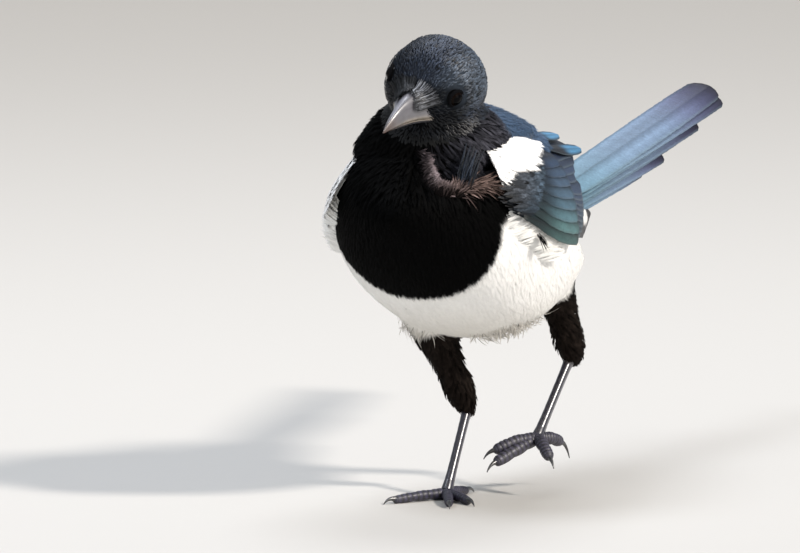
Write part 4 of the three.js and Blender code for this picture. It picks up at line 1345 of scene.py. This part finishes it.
def buildLeg(side):
    leg, foot = legs[side], footSet[side]
    top, end = vec(*leg["ankle"]), vec(*leg["ball"])
    stops = []
    for t in np.linspace(0.02, 1.0, 9):
        thick = legSet["shank"] * (1 + 0.35 * (2 * t - 1) ** 4 + 0.2 * step(0.12, 0.0, t))
        stops.append((*mix(top, end, t), thick))
    plates = scutes(legSet["plates"], legSet["plateDepth"], 1.2)
    points, corners, sizes, uv = loft(limbRings(stops, 170, 32, plates, top=vec(0, -1, 0.2)))
    bare = step(0.8, 1.0, (points - end) @ unit(top - end) / lengths(top - end))
    colour = tint(0.4 * scuteHue(points, 0.5, 1, foot["grey"]), "4a3a32", 0.55 * bare)
    makePiece("tarsus_" + side + "_scutes", points, corners, sizes, "shank", ["tarsus_" + side],
              bake=uv, coat=colour)
    toes, claws = [], {}
    for name, toe in foot["toes"].items():
        claw = legSet["hindClaw" if name == "hind" else "claw"]
        if foot["level"]:
            (x, y), length = toe
            way = unit(vec(x, y, 0))
            stops = [(0, 0, 2.6, 4.9)]
            for t in (0.25, 0.5, 0.75, 1):
                lift = 0.5 * math.sin(math.pi * t) if t < 1 else 0
                stops.append((*(way * t * length)[:2], mix(2.45, 1.7, t) + lift, mix(4.8, 3.6, t)))
            start = way * (length - 0.6) + vec(0, 0, 2.0)
            drop = -legSet["clawTip"] / claw
        else:
            via, tip, drop = toe
            way = unit(vec(*tip) - vec(*via))
            stops = [(*foot["root"], 5.2), (*via, 5.2), (*tip, 4.8)]
            start = vec(*tip) - way * 0.6
        toes.append(loft(limbRings(stops, 90, 24, padded)))
        last, thick = vec(*stops[-1][:3]), 1 if foot["level"] else 1.3
        cap = [(*(last + way * ahead), wide * thick) for ahead, wide in ((-0.8, 3.5), (0.5, 3.1), (1.2, 1.9))]
        toes.append(loft(limbRings(cap, 8, 22)))
        claws["claw_" + side + "_" + name] = clawRings(start, way, drop, claw)
    ball = []
    for a in np.linspace(math.pi - 0.05, 0.05, 16):
        wide = legSet["ball"] * math.sin(a)
        centre = vec(*foot["root"]) + vec(0, 0, 2.95 * math.cos(a))
        ball.append(oval(centre, vec(1, 0, 0), vec(0, 1, 0), wide, wide, sides=24))
    points, corners, sizes, uv = merge(toes + [loft(ball)])
    points[:, 2] = np.maximum(points[:, 2], 0)
    makePiece("foot_" + side + "_scutes", points, corners, sizes, "scute", ["foot_" + side],
              bake=uv, coat=scuteHue(points, uv[:, 1], legSet["scutes"], foot["grey"]))
    for node, rings in claws.items():
        points, corners, sizes, uv = loft(rings)
        points[:, 2] = np.maximum(points[:, 2], 0)
        makePiece(node + "_horn", points, corners, sizes, "horn", [node], bake=uv,
                  coat=linear("131216"))


buildLeg("right")
buildLeg("left")
print("legs built")


# Floor and light. Grain and relief are in millimetres.
stage = {"size": 6.0, "colour": "c6c3be", "grain": 6.25, "relief": 1.0, "strength": 0.04}


def buildStage():
    bpy.ops.mesh.primitive_plane_add(size=stage["size"], location=(0, 0, 0))
    floor = bpy.context.object
    floor.name = "floor"
    # dull plaster, that shows soft shadows and no reflections
    material, tree = newMaterial("floor_plaster")
    place = addNode(tree, "ShaderNodeTexCoord", {})["Object"]
    grain = addNode(tree, "ShaderNodeTexNoise", {
        "Vector": place, "Scale": 1 / (stage["grain"] * scale), "Detail": 4.0})[0]
    relief = addNode(tree, "ShaderNodeBump", {
        "Height": grain, "Strength": stage["strength"], "Distance": stage["relief"] * scale})[0]
    plaster = addNode(tree, "ShaderNodeBsdfPrincipled", {
        "Base Color": (*linear(stage["colour"]), 1), "Roughness": 0.75, "Normal": relief})[0]
    addNode(tree, "ShaderNodeOutputMaterial", {"Surface": plaster})
    floor.data.materials.append(material)


# aside, above and towards the camera, in metres. The key is a distant soft lamp, so that the
# floor is lit evenly.
lamps = {
    "key": {"kind": "SUN", "at": (1.6, 1.3, 1.1), "soft": math.radians(7), "power": 3.3, "colour": "fff8f0"},
    "fill": {"kind": "AREA", "at": (-1.8, 0.7, 1.4), "soft": 1.8, "power": 5, "colour": "e6eefc"},
    "rim": {"kind": "AREA", "at": (0.1, 1.8, -0.9), "soft": 0.9, "power": 16, "colour": "f4f8ff"},
    "sky": {"kind": "AREA", "at": (-0.7, 1.9, 0.3), "soft": 0.8, "power": 22, "colour": "eef4ff"},
    "bounce": {"kind": "AREA", "at": (1.6, 0.0, 1.2), "soft": 1.2, "power": 8, "colour": "fff6ee"},
}
backdrop = {"colour": "dfe6ee", "strength": 0.42}


def buildLights():
    aim = Vector((0.01, 0.0, 0.13))  # the bird's middle
    for name, lamp in lamps.items():
        data = bpy.data.lights.new(name, lamp["kind"])
        if lamp["kind"] == "SUN":
            data.angle = lamp["soft"]
        else:
            data.size = lamp["soft"]
        data.energy = lamp["power"]
        data.color = linear(lamp["colour"])
        made = addObject(name, data)
        aside, above, near = lamp["at"]
        made.location = aim + viewRight * aside + Vector((0, 0, 1)) * above + viewBack * near
        made.rotation_euler = (aim - made.location).to_track_quat("-Z", "Y").to_euler()
    world = bpy.data.worlds.new("studio")
    bpy.context.scene.world = world
    world.use_nodes = True
    sky = world.node_tree.nodes["Background"]
    sky.inputs["Color"].default_value = (*linear(backdrop["colour"]), 1)
    sky.inputs["Strength"].default_value = backdrop["strength"]
    bpy.context.scene.view_settings.view_transform = "Standard"


buildStage()
buildLights()
print("stage and light set")
